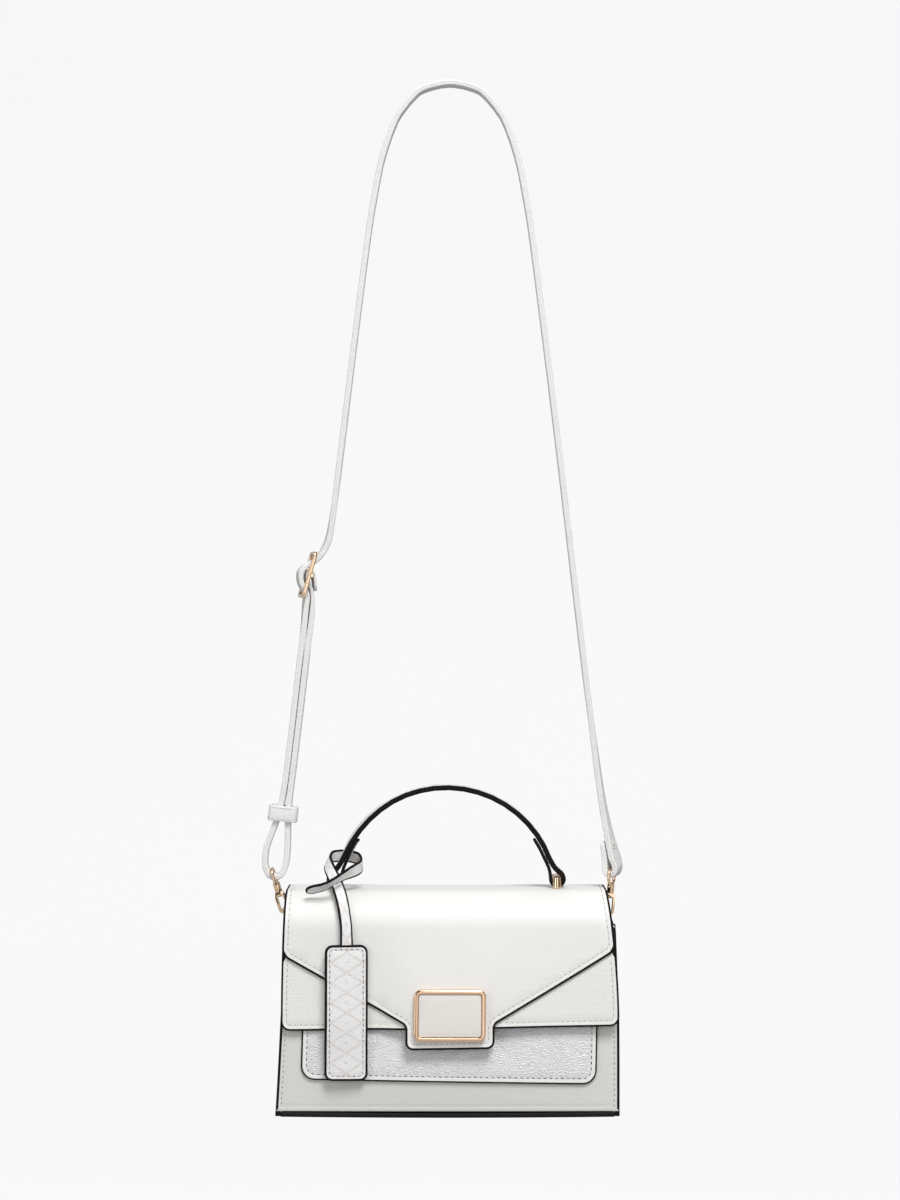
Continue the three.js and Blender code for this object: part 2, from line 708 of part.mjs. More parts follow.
function shoulderStrap() {
  const rise = STRAP_ARCH.map((row) => ({ ...row, t: STRAP_THICKNESS }));
  const fall = rise.map((row) => ({ ...row, x: -row.x })).reverse();
  const top = { x: 0, h: STRAP_APEX, t: STRAP_THICKNESS };
  const rows = [...STRAP_RIGHT_END, ...rise, top, ...fall, ...STRAP_BUCKLE_AND_LEFT];
  return strip(rows, -STRAP_WIDTH / 2, STRAP_WIDTH / 2, 0.11);
}

function strapKeeper() {
  const depth = STRAP_WIDTH / 2 + 0.5;
  const wall = 1.8;
  const w = 7.7;
  const shape = outline(roundedBox(-w - wall, -depth - wall, w + wall, depth + wall, 3, 3));
  shape.holes.push(outline(roundedBox(-w, -depth, w, depth, 1.4, 3)));
  const band = alongZ(shape, -KEEPER_HEIGHT / 2, KEEPER_HEIGHT / 2);
  return band.rotateY(0.11).translate(-110, 0, 194);
}

// Buckle: a flat frame with two windows, seen edge-on and tilted, with the bar between them set forward.
function strapBuckle() {
  const w = BUCKLE.width / 2;
  const l = BUCKLE.length / 2;
  const shape = outline(roundedBox(-w, -l, w, l, 3.2, 4));
  shape.holes.push(outline(roundedBox(-w + 2.6, -l + 1.9, w - 2.6, l - 1.9, 1.6, 4)));
  const frame = alongX(shape, -1.1, 1.1);
  const bar = rod(1.05, BUCKLE.width - 2).translate(1.35, 0, 0);
  return join(frame, bar).rotateY(BUCKLE.tilt).translate(BUCKLE.x, 0, BUCKLE.h);
}

// Snap hooks: the eye and its barrel turn in the collar of the body, and a sprung gate closes the
// mouth. Drawn with the caught ring's wire at the origin, up along z, the mouth towards +x.
function hookEye() {
  const foot = HOOK_COLLAR + GAP;
  const low = foot + HOOK_BARREL - 0.7;
  const upright = (radius, length, z) => rod(radius, length, 14).rotateX(Math.PI / 2).translate(0, 0, z);
  const loop = wireLoop(roundedBox(-EYE_HALF, low, EYE_HALF, HOOK_LENGTH, 2.6, 4), WIRE_RADIUS);
  const barrel = upright(2.4, HOOK_BARREL, foot + HOOK_BARREL / 2);
  const stem = upright(0.85, 5, HOOK_COLLAR - 0.5);
  const head = upright(1.25, 0.9, HOOK_COLLAR - 3.1);
  return join(loop, barrel, stem, head);
}

function hookBody() {
  const arc = (radius, from, to, steps) => {
    const points = [];
    for (let i = 0; i <= steps; i += 1) {
      const angle = from + (to - from) * (i / steps);
      points.push([radius * Math.cos(angle), 0.4 + radius * Math.sin(angle)]);
    }
    return points;
  };
  const shape = outline([
    ...arc(3.5, -Math.PI, 0, 12),
    [3.5, 1.6],
    [3, 2.3],
    [2.2, 2.3],
    [1.7, 1.7],
    ...arc(1.7, 0, -Math.PI, 10),
    [-1.7, 8],
    [-1.4, 9],
    [1.7, 9],
    [1.7, 6.9],
    [3.5, 6.9],
    [3.5, 9],
    [2.6, HOOK_COLLAR],
    [-2.6, HOOK_COLLAR],
    [-3.5, 8.6],
  ]);
  const slab = alongY(shape, -1.9, 1.9);
  const bore = rod(1.15, 8, 12).rotateX(Math.PI / 2).translate(0, 0, HOOK_COLLAR);
  const slot = new THREE.BoxGeometry(3.4, 2, 4.6).translate(GATE_PIN.x + 0.3, 0, GATE_PIN.z - 0.4);
  const pin = rod(GATE_PIN.radius, 3, 10).translate(GATE_PIN.x, 0, GATE_PIN.z);
  return join(cut(slab, bore, slot), pin);
}

function hookGate() {
  const shape = outline([
    [2, 2.65],
    [3.3, 2.65],
    [3.4, 4.2],
    [4.7, 4.5],
    [4.7, 5.6],
    [3.4, 6],
    [3.55, 7.4],
    [3.6, 8.3],
    [3.3, 9.1],
    [2.5, 9.45],
    [1.7, 9.1],
    [1.45, 8.3],
    [1.6, 7.2],
    [1.95, 6],
  ]);
  const lever = alongY(shape, -0.7, 0.7);
  const eye = rod(GATE_PIN.radius + GAP, 3, 10).translate(GATE_PIN.x, 0, GATE_PIN.z);
  return cut(lever, eye);
}

// D-ring in the plane across X: a straight bar at the origin held by the tab, an arc above it.
function dRing() {
  const corner = 2.2;
  const points = [];
  for (let i = 0; i <= 4; i += 1) {
    const angle = -Math.PI / 2 + (Math.PI / 2) * (i / 4);
    points.push([EYE_HALF - corner + corner * Math.cos(angle), corner + corner * Math.sin(angle)]);
  }
  for (let i = 1; i <= 6; i += 1) {
    const angle = (Math.PI / 2) * (i / 6);
    points.push([EYE_HALF * Math.cos(angle), corner + (RING_REACH - corner) * Math.sin(angle)]);
  }
  const mirrored = points.slice(0, -1).map(([y, z]) => [-y, z]).reverse();
  return wireLoop([...points, ...mirrored], WIRE_RADIUS);
}

// Each side's hardware hangs in a chain from the eye bar: lean is how far it tips off the vertical.
// The hooks' mouths face in, towards the bag.
const SIDES = [
  { name: "left", sign: -1, eyeX: 117.5, eyeH: 156.9, hookLean: -17, ringLean: -25 },
  { name: "right", sign: 1, eyeX: 107.1, eyeH: 156.7, hookLean: -5, ringLean: -2 },
];

function hangChain(side) {
  const hookLean = THREE.MathUtils.degToRad(side.hookLean);
  const ringLean = THREE.MathUtils.degToRad(side.ringLean);
  const wireX = side.eyeX + HOOK_LENGTH * Math.sin(hookLean);
  const wireH = side.eyeH - HOOK_LENGTH * Math.cos(hookLean);
  const barX = wireX + RING_REACH * Math.sin(ringLean);
  const barH = wireH - RING_REACH * Math.cos(ringLean);
  const facing = (geometry, lean, x, h) => {
    const leaning = geometry.rotateZ(Math.PI).rotateY(-lean);
    return (side.sign < 0 ? leaning.rotateZ(Math.PI) : leaning).translate(side.sign * x, 0, h);
  };
  add(`hook_eye_${side.name}`, facing(hookEye(), hookLean, wireX, wireH), GOLD);
  add(`hook_body_${side.name}`, facing(hookBody(), hookLean, wireX, wireH), GOLD);
  add(`hook_gate_${side.name}`, facing(hookGate(), hookLean, wireX, wireH), GOLD);
  add(`d_ring_${side.name}`, facing(dRing(), ringLean, barX, barH), GOLD);
  add(`side_tab_${side.name}`, sideTab(side.sign, barX, barH), SMOOTH_LEATHER);
}

// Side tab: a strip sewn flat on the gusset, folded over the ring's bar.
function sideTab(sign, barX, barH) {
  const t = 1.6;
  const inner = GUSSET_WALL_X + GAP + t / 2;
  const outer = inner + t + GAP;
  const turn = WIRE_RADIUS + GAP + t / 2;
  const rows = [
    { x: inner, h: 92, t },
    { x: inner, h: 108, t },
    { x: Math.max(inner, barX - turn - 1.4), h: barH - 6, t },
    { x: barX - turn, h: barH, t },
    { x: barX - turn * 0.7, h: barH + turn * 0.7, t },
    { x: barX, h: barH + turn, t },
    { x: barX + turn * 0.7, h: barH + turn * 0.7, t },
    { x: barX + turn, h: barH, t },
    { x: barX + turn * 0.45, h: barH - 6, t },
    { x: outer + 0.5, h: 108, t },
    { x: outer, h: 98, t },
    { x: outer, h: 92, t },
  ];
  const facing = rows.map((row) => ({ ...row, x: sign * row.x }));
  const ordered = sign < 0 ? facing.reverse() : facing;
  return strip(ordered, -STRAP_WIDTH / 2, STRAP_WIDTH / 2, 0.2);
}

add("base_panel", basePanel(), DARK_EDGE);
add("front_panel", wallPanel(-1), SMOOTH_LEATHER);
add("back_panel", wallPanel(1), SMOOTH_LEATHER);
add("gusset_left", gusset(-1), SMOOTH_LEATHER);
add("gusset_right", gusset(1), SMOOTH_LEATHER);
add("front_pocket", pocket(), PEBBLED_LEATHER);
add("flap_lower", flapLower(), CROSS_GRAIN);
add("flap_upper", flapUpper(), SMOOTH_LEATHER);
add("clasp_frame", claspFrame(), GOLD);
add("clasp_plate", claspPlate(), ENAMEL);
add("handle", handle(), SMOOTH_LEATHER);
add("handle_bridge_left", handleBridge(-1), GOLD);
add("handle_bridge_right", handleBridge(1), GOLD);
add("tag_strap", tagStrap(), SMOOTH_LEATHER);
add("tag", tag(), SMOOTH_LEATHER);
add("shoulder_strap", shoulderStrap(), SMOOTH_LEATHER);
add("strap_keeper", strapKeeper(), SMOOTH_LEATHER);
add("strap_buckle", strapBuckle(), GOLD);
SIDES.forEach(hangChain);

const part = new THREE.Group();
part.name = "part";
part.add(bag);

export default part;
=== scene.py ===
"""Finishes and soft forms of a structured crossbody bag that hangs from its shoulder strap.

Pieces are cut and bent in millimetres, with heights measured up from the underside of the base.
A finished mesh is scaled to metres and lowered, so that the hanging point is the origin.
"""

import bisect
import logging
from collections.abc import Callable, Sequence
from dataclasses import dataclass, field
from enum import Enum
from math import atan, copysign, cos, exp, hypot, pi, radians, sin
from typing import NamedTuple

import bmesh
import bpy
import numpy as np
from mathutils import Matrix, Vector


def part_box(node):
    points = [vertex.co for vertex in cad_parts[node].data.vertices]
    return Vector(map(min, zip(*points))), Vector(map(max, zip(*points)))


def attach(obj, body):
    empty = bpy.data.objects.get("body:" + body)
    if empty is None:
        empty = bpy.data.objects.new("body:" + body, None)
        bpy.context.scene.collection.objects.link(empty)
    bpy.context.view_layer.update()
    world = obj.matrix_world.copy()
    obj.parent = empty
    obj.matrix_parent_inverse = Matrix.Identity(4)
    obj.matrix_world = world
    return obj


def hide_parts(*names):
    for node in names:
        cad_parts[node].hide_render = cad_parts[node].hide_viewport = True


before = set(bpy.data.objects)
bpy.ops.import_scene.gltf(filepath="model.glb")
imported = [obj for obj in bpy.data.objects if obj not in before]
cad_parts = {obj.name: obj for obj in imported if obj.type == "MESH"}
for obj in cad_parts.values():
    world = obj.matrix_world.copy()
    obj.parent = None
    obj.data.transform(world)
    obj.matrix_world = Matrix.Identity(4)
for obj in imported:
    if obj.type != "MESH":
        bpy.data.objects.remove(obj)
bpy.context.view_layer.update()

log = logging.getLogger("crossbody_bag")

MM = 0.001
# How far the underside of the base hangs below the origin, in metres.
DROP = -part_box("base_panel")[0].z
# The seam left between two pieces, in millimetres, and two distances that count as none.
GAP = 0.3
WELD = 1e-4
TINY = 1e-9
BODY = "bag"
# The layer that holds the flat cut's own coordinates.
PATTERN = "pattern"

BMesh = bmesh.types.BMesh
Node = bpy.types.Node
Socket = bpy.types.NodeSocket
Tree = bpy.types.NodeTree
Material = bpy.types.Material
Pair = tuple[float, float]
Bend = Callable[[Vector], Vector]
Test = Callable[[Vector], bool]
Colour = tuple[float, float, float]


class Slot(Enum):
    """The material slots that the part's record names."""

    WHITE = "white_leather"
    CROSS_GRAIN = "cross_grain_leather"
    PEBBLED = "pebbled_grey_leather"
    BLACK = "black_leather"
    GOLD = "rose_gold"
    ENAMEL = "pale_enamel"


class Grain(Enum):
    """The surface that a leather is pressed with."""

    SMOOTH = "smooth"
    CROSS = "cross_hatch"
    PEBBLE = "pebble"


class Side(Enum):
    """Left and right of the bag, as seen from the front."""

    LEFT = -1
    RIGHT = 1

    @property
    def word(self) -> str:
        """The side as it stands in a piece's name."""
        return self.name.lower()


class Face(Enum):
    """The front and the back of the bag, by the sign of their depth."""

    FRONT = -1
    BACK = 1


class Axis(Enum):
    """The directions of a flat cut: across it, up it and through its thickness."""

    U = 0
    V = 1
    W = 2


class Rounding(Enum):
    """What a rounding works on, as Blender calls it."""

    CORNERS = "VERTICES"
    EDGES = "EDGES"


# Shader trees


class NodeSheet:
    """Adds nodes to one shader tree and joins them."""

    def __init__(self, tree: Tree) -> None:
        """Keeps the tree that the nodes go into."""
        self.tree = tree

    def add(self, kind: str, sockets: dict | None = None, **settings: object) -> Node:
        """Makes one node.

        Args:
            kind: The node's Blender type.
            sockets: Values, or other nodes' output sockets, for its inputs.
            **settings: Properties of the node itself.

        Returns:
            The new node.
        """
        made = self.tree.nodes.new(kind)
        for key, value in settings.items():
            setattr(made, key, value)
        self.fill(made, sockets or {})
        return made

    def fill(self, node: Node, sockets: dict) -> None:
        """Sets a node's inputs, or joins them to other nodes.

        Args:
            node: The node.
            sockets: Values, or other nodes' output sockets, for its inputs.
        """
        for key, value in sockets.items():
            if isinstance(value, Socket):
                self.tree.links.new(value, node.inputs[key])
            else:
                node.inputs[key].default_value = value

    def group(self, tree: Tree, place: object, scale: float) -> Node:
        """Puts in a shared group that reads a place at a scale."""
        return self.add("ShaderNodeGroup", {"Place": place, "Scale": scale}, node_tree=tree)

    def math(self, operation: str, first: object, second: object) -> Socket:
        """Works one sum on two values or sockets, clamped to the range 0 to 1."""
        made = self.add("ShaderNodeMath", {0: first, 1: second}, operation=operation, use_clamp=True)
        return made.outputs[0]

    def spread(self, value: object, low: float, high: float, to: Pair = (0.0, 1.0)) -> Socket:
        """Carries a value from one range to another, without overshoot."""
        limits = {"Value": value, "From Min": low, "From Max": high, "To Min": to[0], "To Max": to[1]}
        return self.add("ShaderNodeMapRange", limits).outputs[0]

    def mix(self, share: object, first: object, second: object) -> Socket:
        """Mixes two colours by a share."""
        sockets = {0: share, 6: opaque(first), 7: opaque(second)}
        return self.add("ShaderNodeMix", sockets, data_type="RGBA").outputs[2]

    def bands(self, place: object, turn: float, scale: object, distortion: float = 0.0) -> Socket:
        """Draws a wave of parallel bands.

        Args:
            place: The coordinates to read.
            turn: The angle in degrees that the coordinates turn through first.
            scale: How fine the bands are.
            distortion: How far noise bends them.

        Returns:
            The wave.
        """
        sockets = {"Vector": place, "Rotation": (0.0, 0.0, radians(turn))}
        turned = self.add("ShaderNodeMapping", sockets)
        sockets = {"Vector": turned.outputs[0], "Scale": scale, "Distortion": distortion}
        return self.add("ShaderNodeTexWave", sockets, bands_direction="X").outputs[1]


def opaque(colour: object) -> object:
    """A colour with its alpha, or a socket as it is."""
    return (*colour, 1.0) if isinstance(colour, tuple) else colour


def open_group(name: str, outputs: Sequence[str]) -> tuple[NodeSheet, Node, Node]:
    """Starts a shader group that reads a place and a scale.

    Args:
        name: The group's name.
        outputs: The names of the values that it gives.

    Returns:
        The sheet to add nodes to, the group's input node and its output node.
    """
    tree = bpy.data.node_groups.new(name, "ShaderNodeTree")
    tree.interface.new_socket("Place", in_out="INPUT", socket_type="NodeSocketVector")
    tree.interface.new_socket("Scale", in_out="INPUT", socket_type="NodeSocketFloat")
    for output in outputs:
        tree.interface.new_socket(output, in_out="OUTPUT", socket_type="NodeSocketFloat")
    sheet = NodeSheet(tree)
    return sheet, sheet.add("NodeGroupInput"), sheet.add("NodeGroupOutput")


def reading(given: Node) -> dict:
    """The inputs of a texture that reads a group's place at its scale."""
    return {"Vector": given.outputs["Place"], "Scale": given.outputs["Scale"]}


class SurfaceGroups:
    """The shader groups that the finishes share, each built once."""

    def __init__(self) -> None:
        """Builds every group."""
        self.grains: dict[Grain, Tree] = {}
        self._mottle()
        self._smooth()
        self._cross()
        self._pebble()

    def _mottle(self) -> None:
        """Builds broad, soft changes of tone from handling and dye."""
        sheet, given, out = open_group("soft_mottle", ["Tone"])
        cloud = sheet.add("ShaderNodeTexNoise", {**reading(given), "Detail": 4.0})
        sheet.fill(out, {"Tone": sheet.spread(cloud.outputs[0], 0.3, 0.7)})
        self.mottle = sheet.tree

    def _smooth(self) -> None:
        """Builds calf grain: fine cells with shallow creases, broken up by noise."""
        sheet, given, out = open_group("calf_grain", ["Height", "Crease"])
        sockets = {**reading(given), "Smoothness": 0.35}
        cells = sheet.add("ShaderNodeTexVoronoi", sockets, feature="SMOOTH_F1")
        noise = sheet.add("ShaderNodeTexNoise", {**reading(given), "Detail": 3.0})
        rise = sheet.spread(cells.outputs["Distance"], 0.1, 0.75, (1.0, 0.0))
        height = sheet.math("MULTIPLY", rise, sheet.spread(noise.outputs[0], 0.3, 0.7, (0.55, 1.0)))
        sheet.fill(out, {"Height": height, "Crease": sheet.math("SUBTRACT", 1.0, rise)})
        self.grains[Grain.SMOOTH] = sheet.tree

    def _cross(self) -> None:
        """Builds two crossed sets of fine diagonal scores."""
        sheet, given, out = open_group("cross_hatch", ["Height", "Crease"])
        ridges = []
        for turn in (45.0, -45.0):
            wave = sheet.bands(given.outputs["Place"], turn, given.outputs["Scale"], distortion=0.6)
            ridges.append(sheet.spread(wave, 0.2, 0.8))
        height = sheet.math("MINIMUM", *ridges)
        sheet.fill(out, {"Height": height, "Crease": sheet.math("SUBTRACT", 1.0, height)})
        self.grains[Grain.CROSS] = sheet.tree

    def _pebble(self) -> None:
        """Builds rounded pebbles drawn out sideways, with creases between them."""
        sheet, given, out = open_group("pebble_grain", ["Height", "Crease"])
        sockets = {"Vector": given.outputs["Place"], "Scale": (0.45, 1.25, 1.0)}
        drawn = sheet.add("ShaderNodeMapping", sockets)
        sockets = {**reading(given), "Vector": drawn.outputs[0]}
        edges = sheet.add("ShaderNodeTexVoronoi", sockets, feature="DISTANCE_TO_EDGE")
        height = sheet.spread(edges.outputs["Distance"], 0.0, 0.32)
        crease = sheet.spread(edges.outputs["Distance"], 0.02, 0.16, (1.0, 0.0))
        sheet.fill(out, {"Height": height, "Crease": crease})
        self.grains[Grain.PEBBLE] = sheet.tree


GROUPS = SurfaceGroups()


def new_material(name: str, colour: Colour) -> tuple[NodeSheet, Node, Material]:
    """Starts a material.

    Args:
        name: The material's name.
        colour: What it shows as in the viewport.

    Returns:
        Its sheet of nodes, its Principled shader and the material.
    """
    material = bpy.data.materials.new(name)
    material.use_nodes = True
    material.diffuse_color = (*colour, 1.0)
    sheet = NodeSheet(material.node_tree)
    sheet.tree.nodes.clear()
    shader = sheet.add("ShaderNodeBsdfPrincipled")
    sheet.add("ShaderNodeOutputMaterial", {"Surface": shader.outputs[0]})
    return sheet, shader, material


@dataclass(frozen=True)
class Leather:
    """A leather: its colour, how it varies, and the grain pressed into it."""

    name: str
    colour: Colour
    shade: Colour
    # The crease colour is painted shade in the grain's hollows.
    crease: Colour
    grain: Grain
    grain_size: float
    relief: float
    roughness: Pair
    mottle_size: float = 60.0
    specular: float = 0.45
    coat: float = 0.0
    crease_share: float = 0.5

    def material(self) -> Material:
        """Builds the material, which reads the flat cut's own coordinates.

        Returns:
            The material.
        """
        sheet, shader, material = new_material(self.name, self.colour)
        place = sheet.add("ShaderNodeUVMap", uv_map=PATTERN).outputs[0]
        grain = sheet.group(GROUPS.grains[self.grain], place, 1 / (self.grain_size * MM))
        mottle = sheet.group(GROUPS.mottle, place, 1 / (self.mottle_size * MM))
        ground = sheet.mix(mottle.outputs["Tone"], self.colour, self.shade)
        ground = self.printed(sheet, place, ground)
        # The grain's creases are pulled towards the crease colour: painted shade in the hollows.
        crease_shade_and_print_wear = sheet.mix(grain.outputs["Crease"], ground, self.crease)
        low, high = self.roughness
        sockets = {"Height": grain.outputs["Height"], "Distance": self.relief * MM, "Strength": 1.0}
        sheet.fill(shader, {
            "Base Color": sheet.mix(self.crease_share, ground, crease_shade_and_print_wear),
            "Roughness": sheet.spread(grain.outputs["Height"], 0.0, 1.0, (high, low)),
            "Normal": sheet.add("ShaderNodeBump", sockets).outputs[0],
            "Specular IOR Level": self.specular,
            "Coat Weight": self.coat,
        })
        return material

    def printed(self, sheet: NodeSheet, place: object, ground: object) -> object:
        """The ground colour with anything printed on it: plain leather has nothing."""
        return ground


@dataclass(frozen=True)
class PrintedLeather(Leather):
    """A leather with a faint lattice of crossed lines and dots printed on it."""

    ink: Colour = (0.6, 0.5, 0.45)
    pitch: float = 11.0
    slant: float = 58.0
    line_edge: Pair = (0.93, 0.99)
    dot_edge: Pair = (0.03, 0.08)
    strength: float = 0.7
    wear_size: float = 2.5

    def printed(self, sheet: NodeSheet, place: object, ground: object) -> object:
        """Prints the lattice over the ground.

        Args:
            sheet: The material's nodes.
            place: The flat cut's coordinates.
            ground: The leather's own colour.

        Returns:
            The printed colour.
        """
        # At a scale of 1, Blender's bands are a tenth of pi apart.
        scale = pi / (10 * self.pitch * MM)
        waves = [sheet.bands(place, turn, scale) for turn in (self.slant, -self.slant)]
        lines = [sheet.spread(wave, *self.line_edge) for wave in waves]
        dots = sheet.spread(sheet.math("MAXIMUM", *waves), *self.dot_edge, (1.0, 0.0))
        drawn = sheet.math("MAXIMUM", sheet.math("MAXIMUM", *lines), dots)
        cloud = sheet.group(GROUPS.mottle, place, 1 / (self.wear_size * MM))
        crease_shade_and_print_wear = sheet.math("MULTIPLY", drawn, sheet.spread(cloud.outputs[0], 0.0, 1.0, (0.25, 1.0)))
        return sheet.mix(sheet.math("MULTIPLY", crease_shade_and_print_wear, self.strength), ground, self.ink)


@dataclass(frozen=True)
class Coating:
    """An even surface such as edge paint, thread, metal or enamel, with slight changes of tone and gloss."""

    name: str
    colour: Colour
    shade: Colour
    roughness: Pair
    mottle_size: float
    fineness: float = 4.0
    relief: float = 0.02
    metallic: float = 0.0
    specular: float = 0.5
    coat: float = 0.0

    def material(self) -> Material:
        """Builds the material, which reads the object's own coordinates.

        Returns:
            The material.
        """
        sheet, shader, material = new_material(self.name, self.colour)
        place = sheet.add("ShaderNodeTexCoord").outputs["Object"]
        mottle = sheet.group(GROUPS.mottle, place, 1 / (self.mottle_size * MM))
        fine = sheet.group(GROUPS.mottle, place, self.fineness / (self.mottle_size * MM))
        sockets = {"Height": fine.outputs["Tone"], "Distance": self.relief * MM, "Strength": 1.0}
        sheet.fill(shader, {
            "Base Color": sheet.mix(mottle.outputs["Tone"], self.colour, self.shade),
            "Roughness": sheet.spread(fine.outputs["Tone"], 0.0, 1.0, self.roughness),
            "Normal": sheet.add("ShaderNodeBump", sockets).outputs[0],
            "Metallic": self.metallic,
            "Specular IOR Level": self.specular,
            "Coat Weight": self.coat,
        })
        return material


class Finishes:
    """Every finish on the bag, as a material."""

    def __init__(self) -> None:
        """Builds the materials."""
        self.white = Leather(
            "smooth_white", (0.83, 0.825, 0.81), (0.8, 0.795, 0.78), (0.76, 0.755, 0.735),
            Grain.SMOOTH, grain_size=1.1, relief=0.05, roughness=(0.4, 0.52),
        ).material()
        # The wall panels take a darker copy of the white leather: painted shade for the lower walls.
        self.panel = Leather(
            "panel_white_painted_shade", (0.705, 0.697, 0.67), (0.68, 0.672, 0.645), (0.63, 0.622, 0.6),
            Grain.SMOOTH, grain_size=1.2, relief=0.05, roughness=(0.42, 0.55),
        ).material()
        self.strap = Leather(
            "strap_white", (0.85, 0.85, 0.842), (0.82, 0.82, 0.812), (0.77, 0.77, 0.762),
            Grain.SMOOTH, grain_size=1.3, relief=0.06, roughness=(0.42, 0.55), mottle_size=25.0,
        ).material()
        self.cross = Leather(
            "cross_grain_white", (0.88, 0.872, 0.84), (0.855, 0.847, 0.815), (0.72, 0.71, 0.675),
            Grain.CROSS, grain_size=5.0, relief=0.1, roughness=(0.4, 0.6),
        ).material()
        self.pebbled = Leather(
            "pebbled_silver_grey", (0.88, 0.88, 0.897), (0.84, 0.84, 0.857), (0.58, 0.58, 0.595),
            Grain.PEBBLE, grain_size=1.25, relief=0.34, roughness=(0.35, 0.5), coat=0.1,
        ).material()
        self.tag = PrintedLeather(
            "printed_tag_white", (0.88, 0.875, 0.875), (0.84, 0.835, 0.835), (0.7, 0.69, 0.69),
            Grain.PEBBLE, grain_size=1.2, relief=0.12, roughness=(0.36, 0.52),
        ).material()
        self.base = Leather(
            "base_black", (0.011, 0.01, 0.01), (0.017, 0.016, 0.016), (0.006, 0.006, 0.006),
            Grain.PEBBLE, grain_size=1.1, relief=0.1, roughness=(0.55, 0.7), specular=0.15,
        ).material()
        self.paint = Coating(
            "edge_paint", (0.009, 0.008, 0.008), (0.013, 0.012, 0.011),
            roughness=(0.6, 0.75), mottle_size=6.0, specular=0.06,
        ).material()
        self.gold = Coating(
            "polished_rose_gold", (0.93, 0.64, 0.43), (0.9, 0.6, 0.4),
            roughness=(0.13, 0.2), mottle_size=12.0, relief=0.001, metallic=1.0,
        ).material()
        self.pale_gold = Coating(
            "polished_pale_gold", (0.94, 0.71, 0.49), (0.92, 0.68, 0.46),
            roughness=(0.06, 0.1), mottle_size=9.0, relief=0.001, metallic=1.0,
        ).material()
        self.enamel = Coating(
            "greige_plate", (0.78, 0.76, 0.71), (0.75, 0.73, 0.68),
            roughness=(0.28, 0.36), mottle_size=22.0, relief=0.006, coat=0.25,
        ).material()
        self.thread = Coating(
            "pale_thread", (0.74, 0.73, 0.71), (0.62, 0.61, 0.59), roughness=(0.6, 0.75), mottle_size=0.8,
        ).material()
        # The needle holes are discs of dark colour: painted shade in the holes, fainter on some rows.
        self.hole = self._hole("needle_hole", (0.015, 0.014, 0.015), (0.035, 0.034, 0.035))
        self.faint_hole_shade = self._hole("faint_needle_hole", (0.52, 0.515, 0.51), (0.6, 0.595, 0.59))
        self.soft_hole_shade = self._hole("shallow_needle_hole", (0.2, 0.195, 0.19), (0.28, 0.275, 0.27))

    @staticmethod
    def _hole(name: str, colour: Colour, shade: Colour) -> Material:
        """Builds the dark colour painted at a row of needle holes as their shade."""
        return Coating(name, colour, shade, roughness=(0.7, 0.85), mottle_size=1.0).material()


# Meshes


def finish_piece(
    bm: BMesh,
    name: str,
    materials: Sequence[Material],
    slot: Slot,
    replaces: Sequence[str] = (),
    body: str = BODY,
    sharp: float = 38.0,
) -> None:
    """Turns a mesh in millimetres into a piece of the part.

    Args:
        bm: The mesh, which is freed.
        name: The piece's name.
        materials: Its materials, in the order of its faces' indices.
        slot: The record's slot for its finish; not used.
        replaces: The solids that it stands for.
        body: The body that it rides on.
        sharp: The angle in degrees past which an edge stays crisp.
    """
    bmesh.ops.scale(bm, vec=(MM, MM, MM), verts=bm.verts)
    bmesh.ops.translate(bm, vec=(0.0, 0.0, -DROP), verts=bm.verts)
    mesh = bpy.data.meshes.new(name)
    bm.to_mesh(mesh)
    bm.free()
    for material in materials:
        mesh.materials.append(material)
    mesh.shade_smooth()
    mesh.set_sharp_from_angle(angle=radians(sharp))
    made = bpy.data.objects.new(name, mesh)
    bpy.context.scene.collection.objects.link(made)
    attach(made, body)
    if replaces:
        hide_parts(*replaces)
    log.info("%s: %d faces", name, len(mesh.polygons))


def absorb(bm: BMesh, other: BMesh) -> None:
    """Adds a second mesh to the first.

    Args:
        bm: The mesh that grows.
        other: The mesh that it takes in, which is freed.
    """
    carried = bpy.data.meshes.new("carried")
    other.to_mesh(carried)
    other.free()
    bm.from_mesh(carried)
    bpy.data.meshes.remove(carried)


def steps(low: float, high: float, step: float) -> list[float]:
    """Even places between two ends, about a step apart, without the ends."""
    count = max(1, round((high - low) / step))
    return [low + (high - low) * i / count for i in range(1, count)]


def ease(value: float, low: float, high: float) -> float:
    """0 below the low end, 1 above the high end, and a smooth rise between."""
    share = min(1.0, max(0.0, (value - low) / (high - low)))
    return share * share * (3 - 2 * share)


def everywhere(place: Vector) -> bool:
    """Says yes to every place."""
    return True


def round_off(
    bm: BMesh, geom: list, width: float, facets: int, kind: Rounding, clamp: bool = False
) -> None:
    """Rounds corners or edges.

    Args:
        bm: The mesh.
        geom: The corners or the edges.
        width: How far from each the rounding starts.
        facets: How many facets make the round.
        kind: Whether they are corners or edges.
        clamp: Whether roundings stop where they would overlap.
    """
    bmesh.ops.bevel(
        bm, geom=geom, offset=width, offset_type="OFFSET", segments=facets, profile=0.5,
        affect=kind.value, clamp_overlap=clamp, material=-1,
    )


def raise_faces(bm: BMesh, faces: list, height: float, keep: bool) -> None:
    """Extrudes faces straight up.

    Args:
        bm: The mesh.
        faces: The faces.
        height: How far up they go.
        keep: Whether copies of them stay below.
    """
    made = bmesh.ops.extrude_face_region(bm, geom=faces, use_keep_orig=keep)
    raised = [g for g in made["geom"] if isinstance(g, bmesh.types.BMVert)]
    bmesh.ops.translate(bm, verts=raised, vec=(0.0, 0.0, height))


class Corner(NamedTuple):
    """A corner of a flat cut, and how far along each edge its rounding starts."""

    u: float
    v: float
    reach: float = 0.0


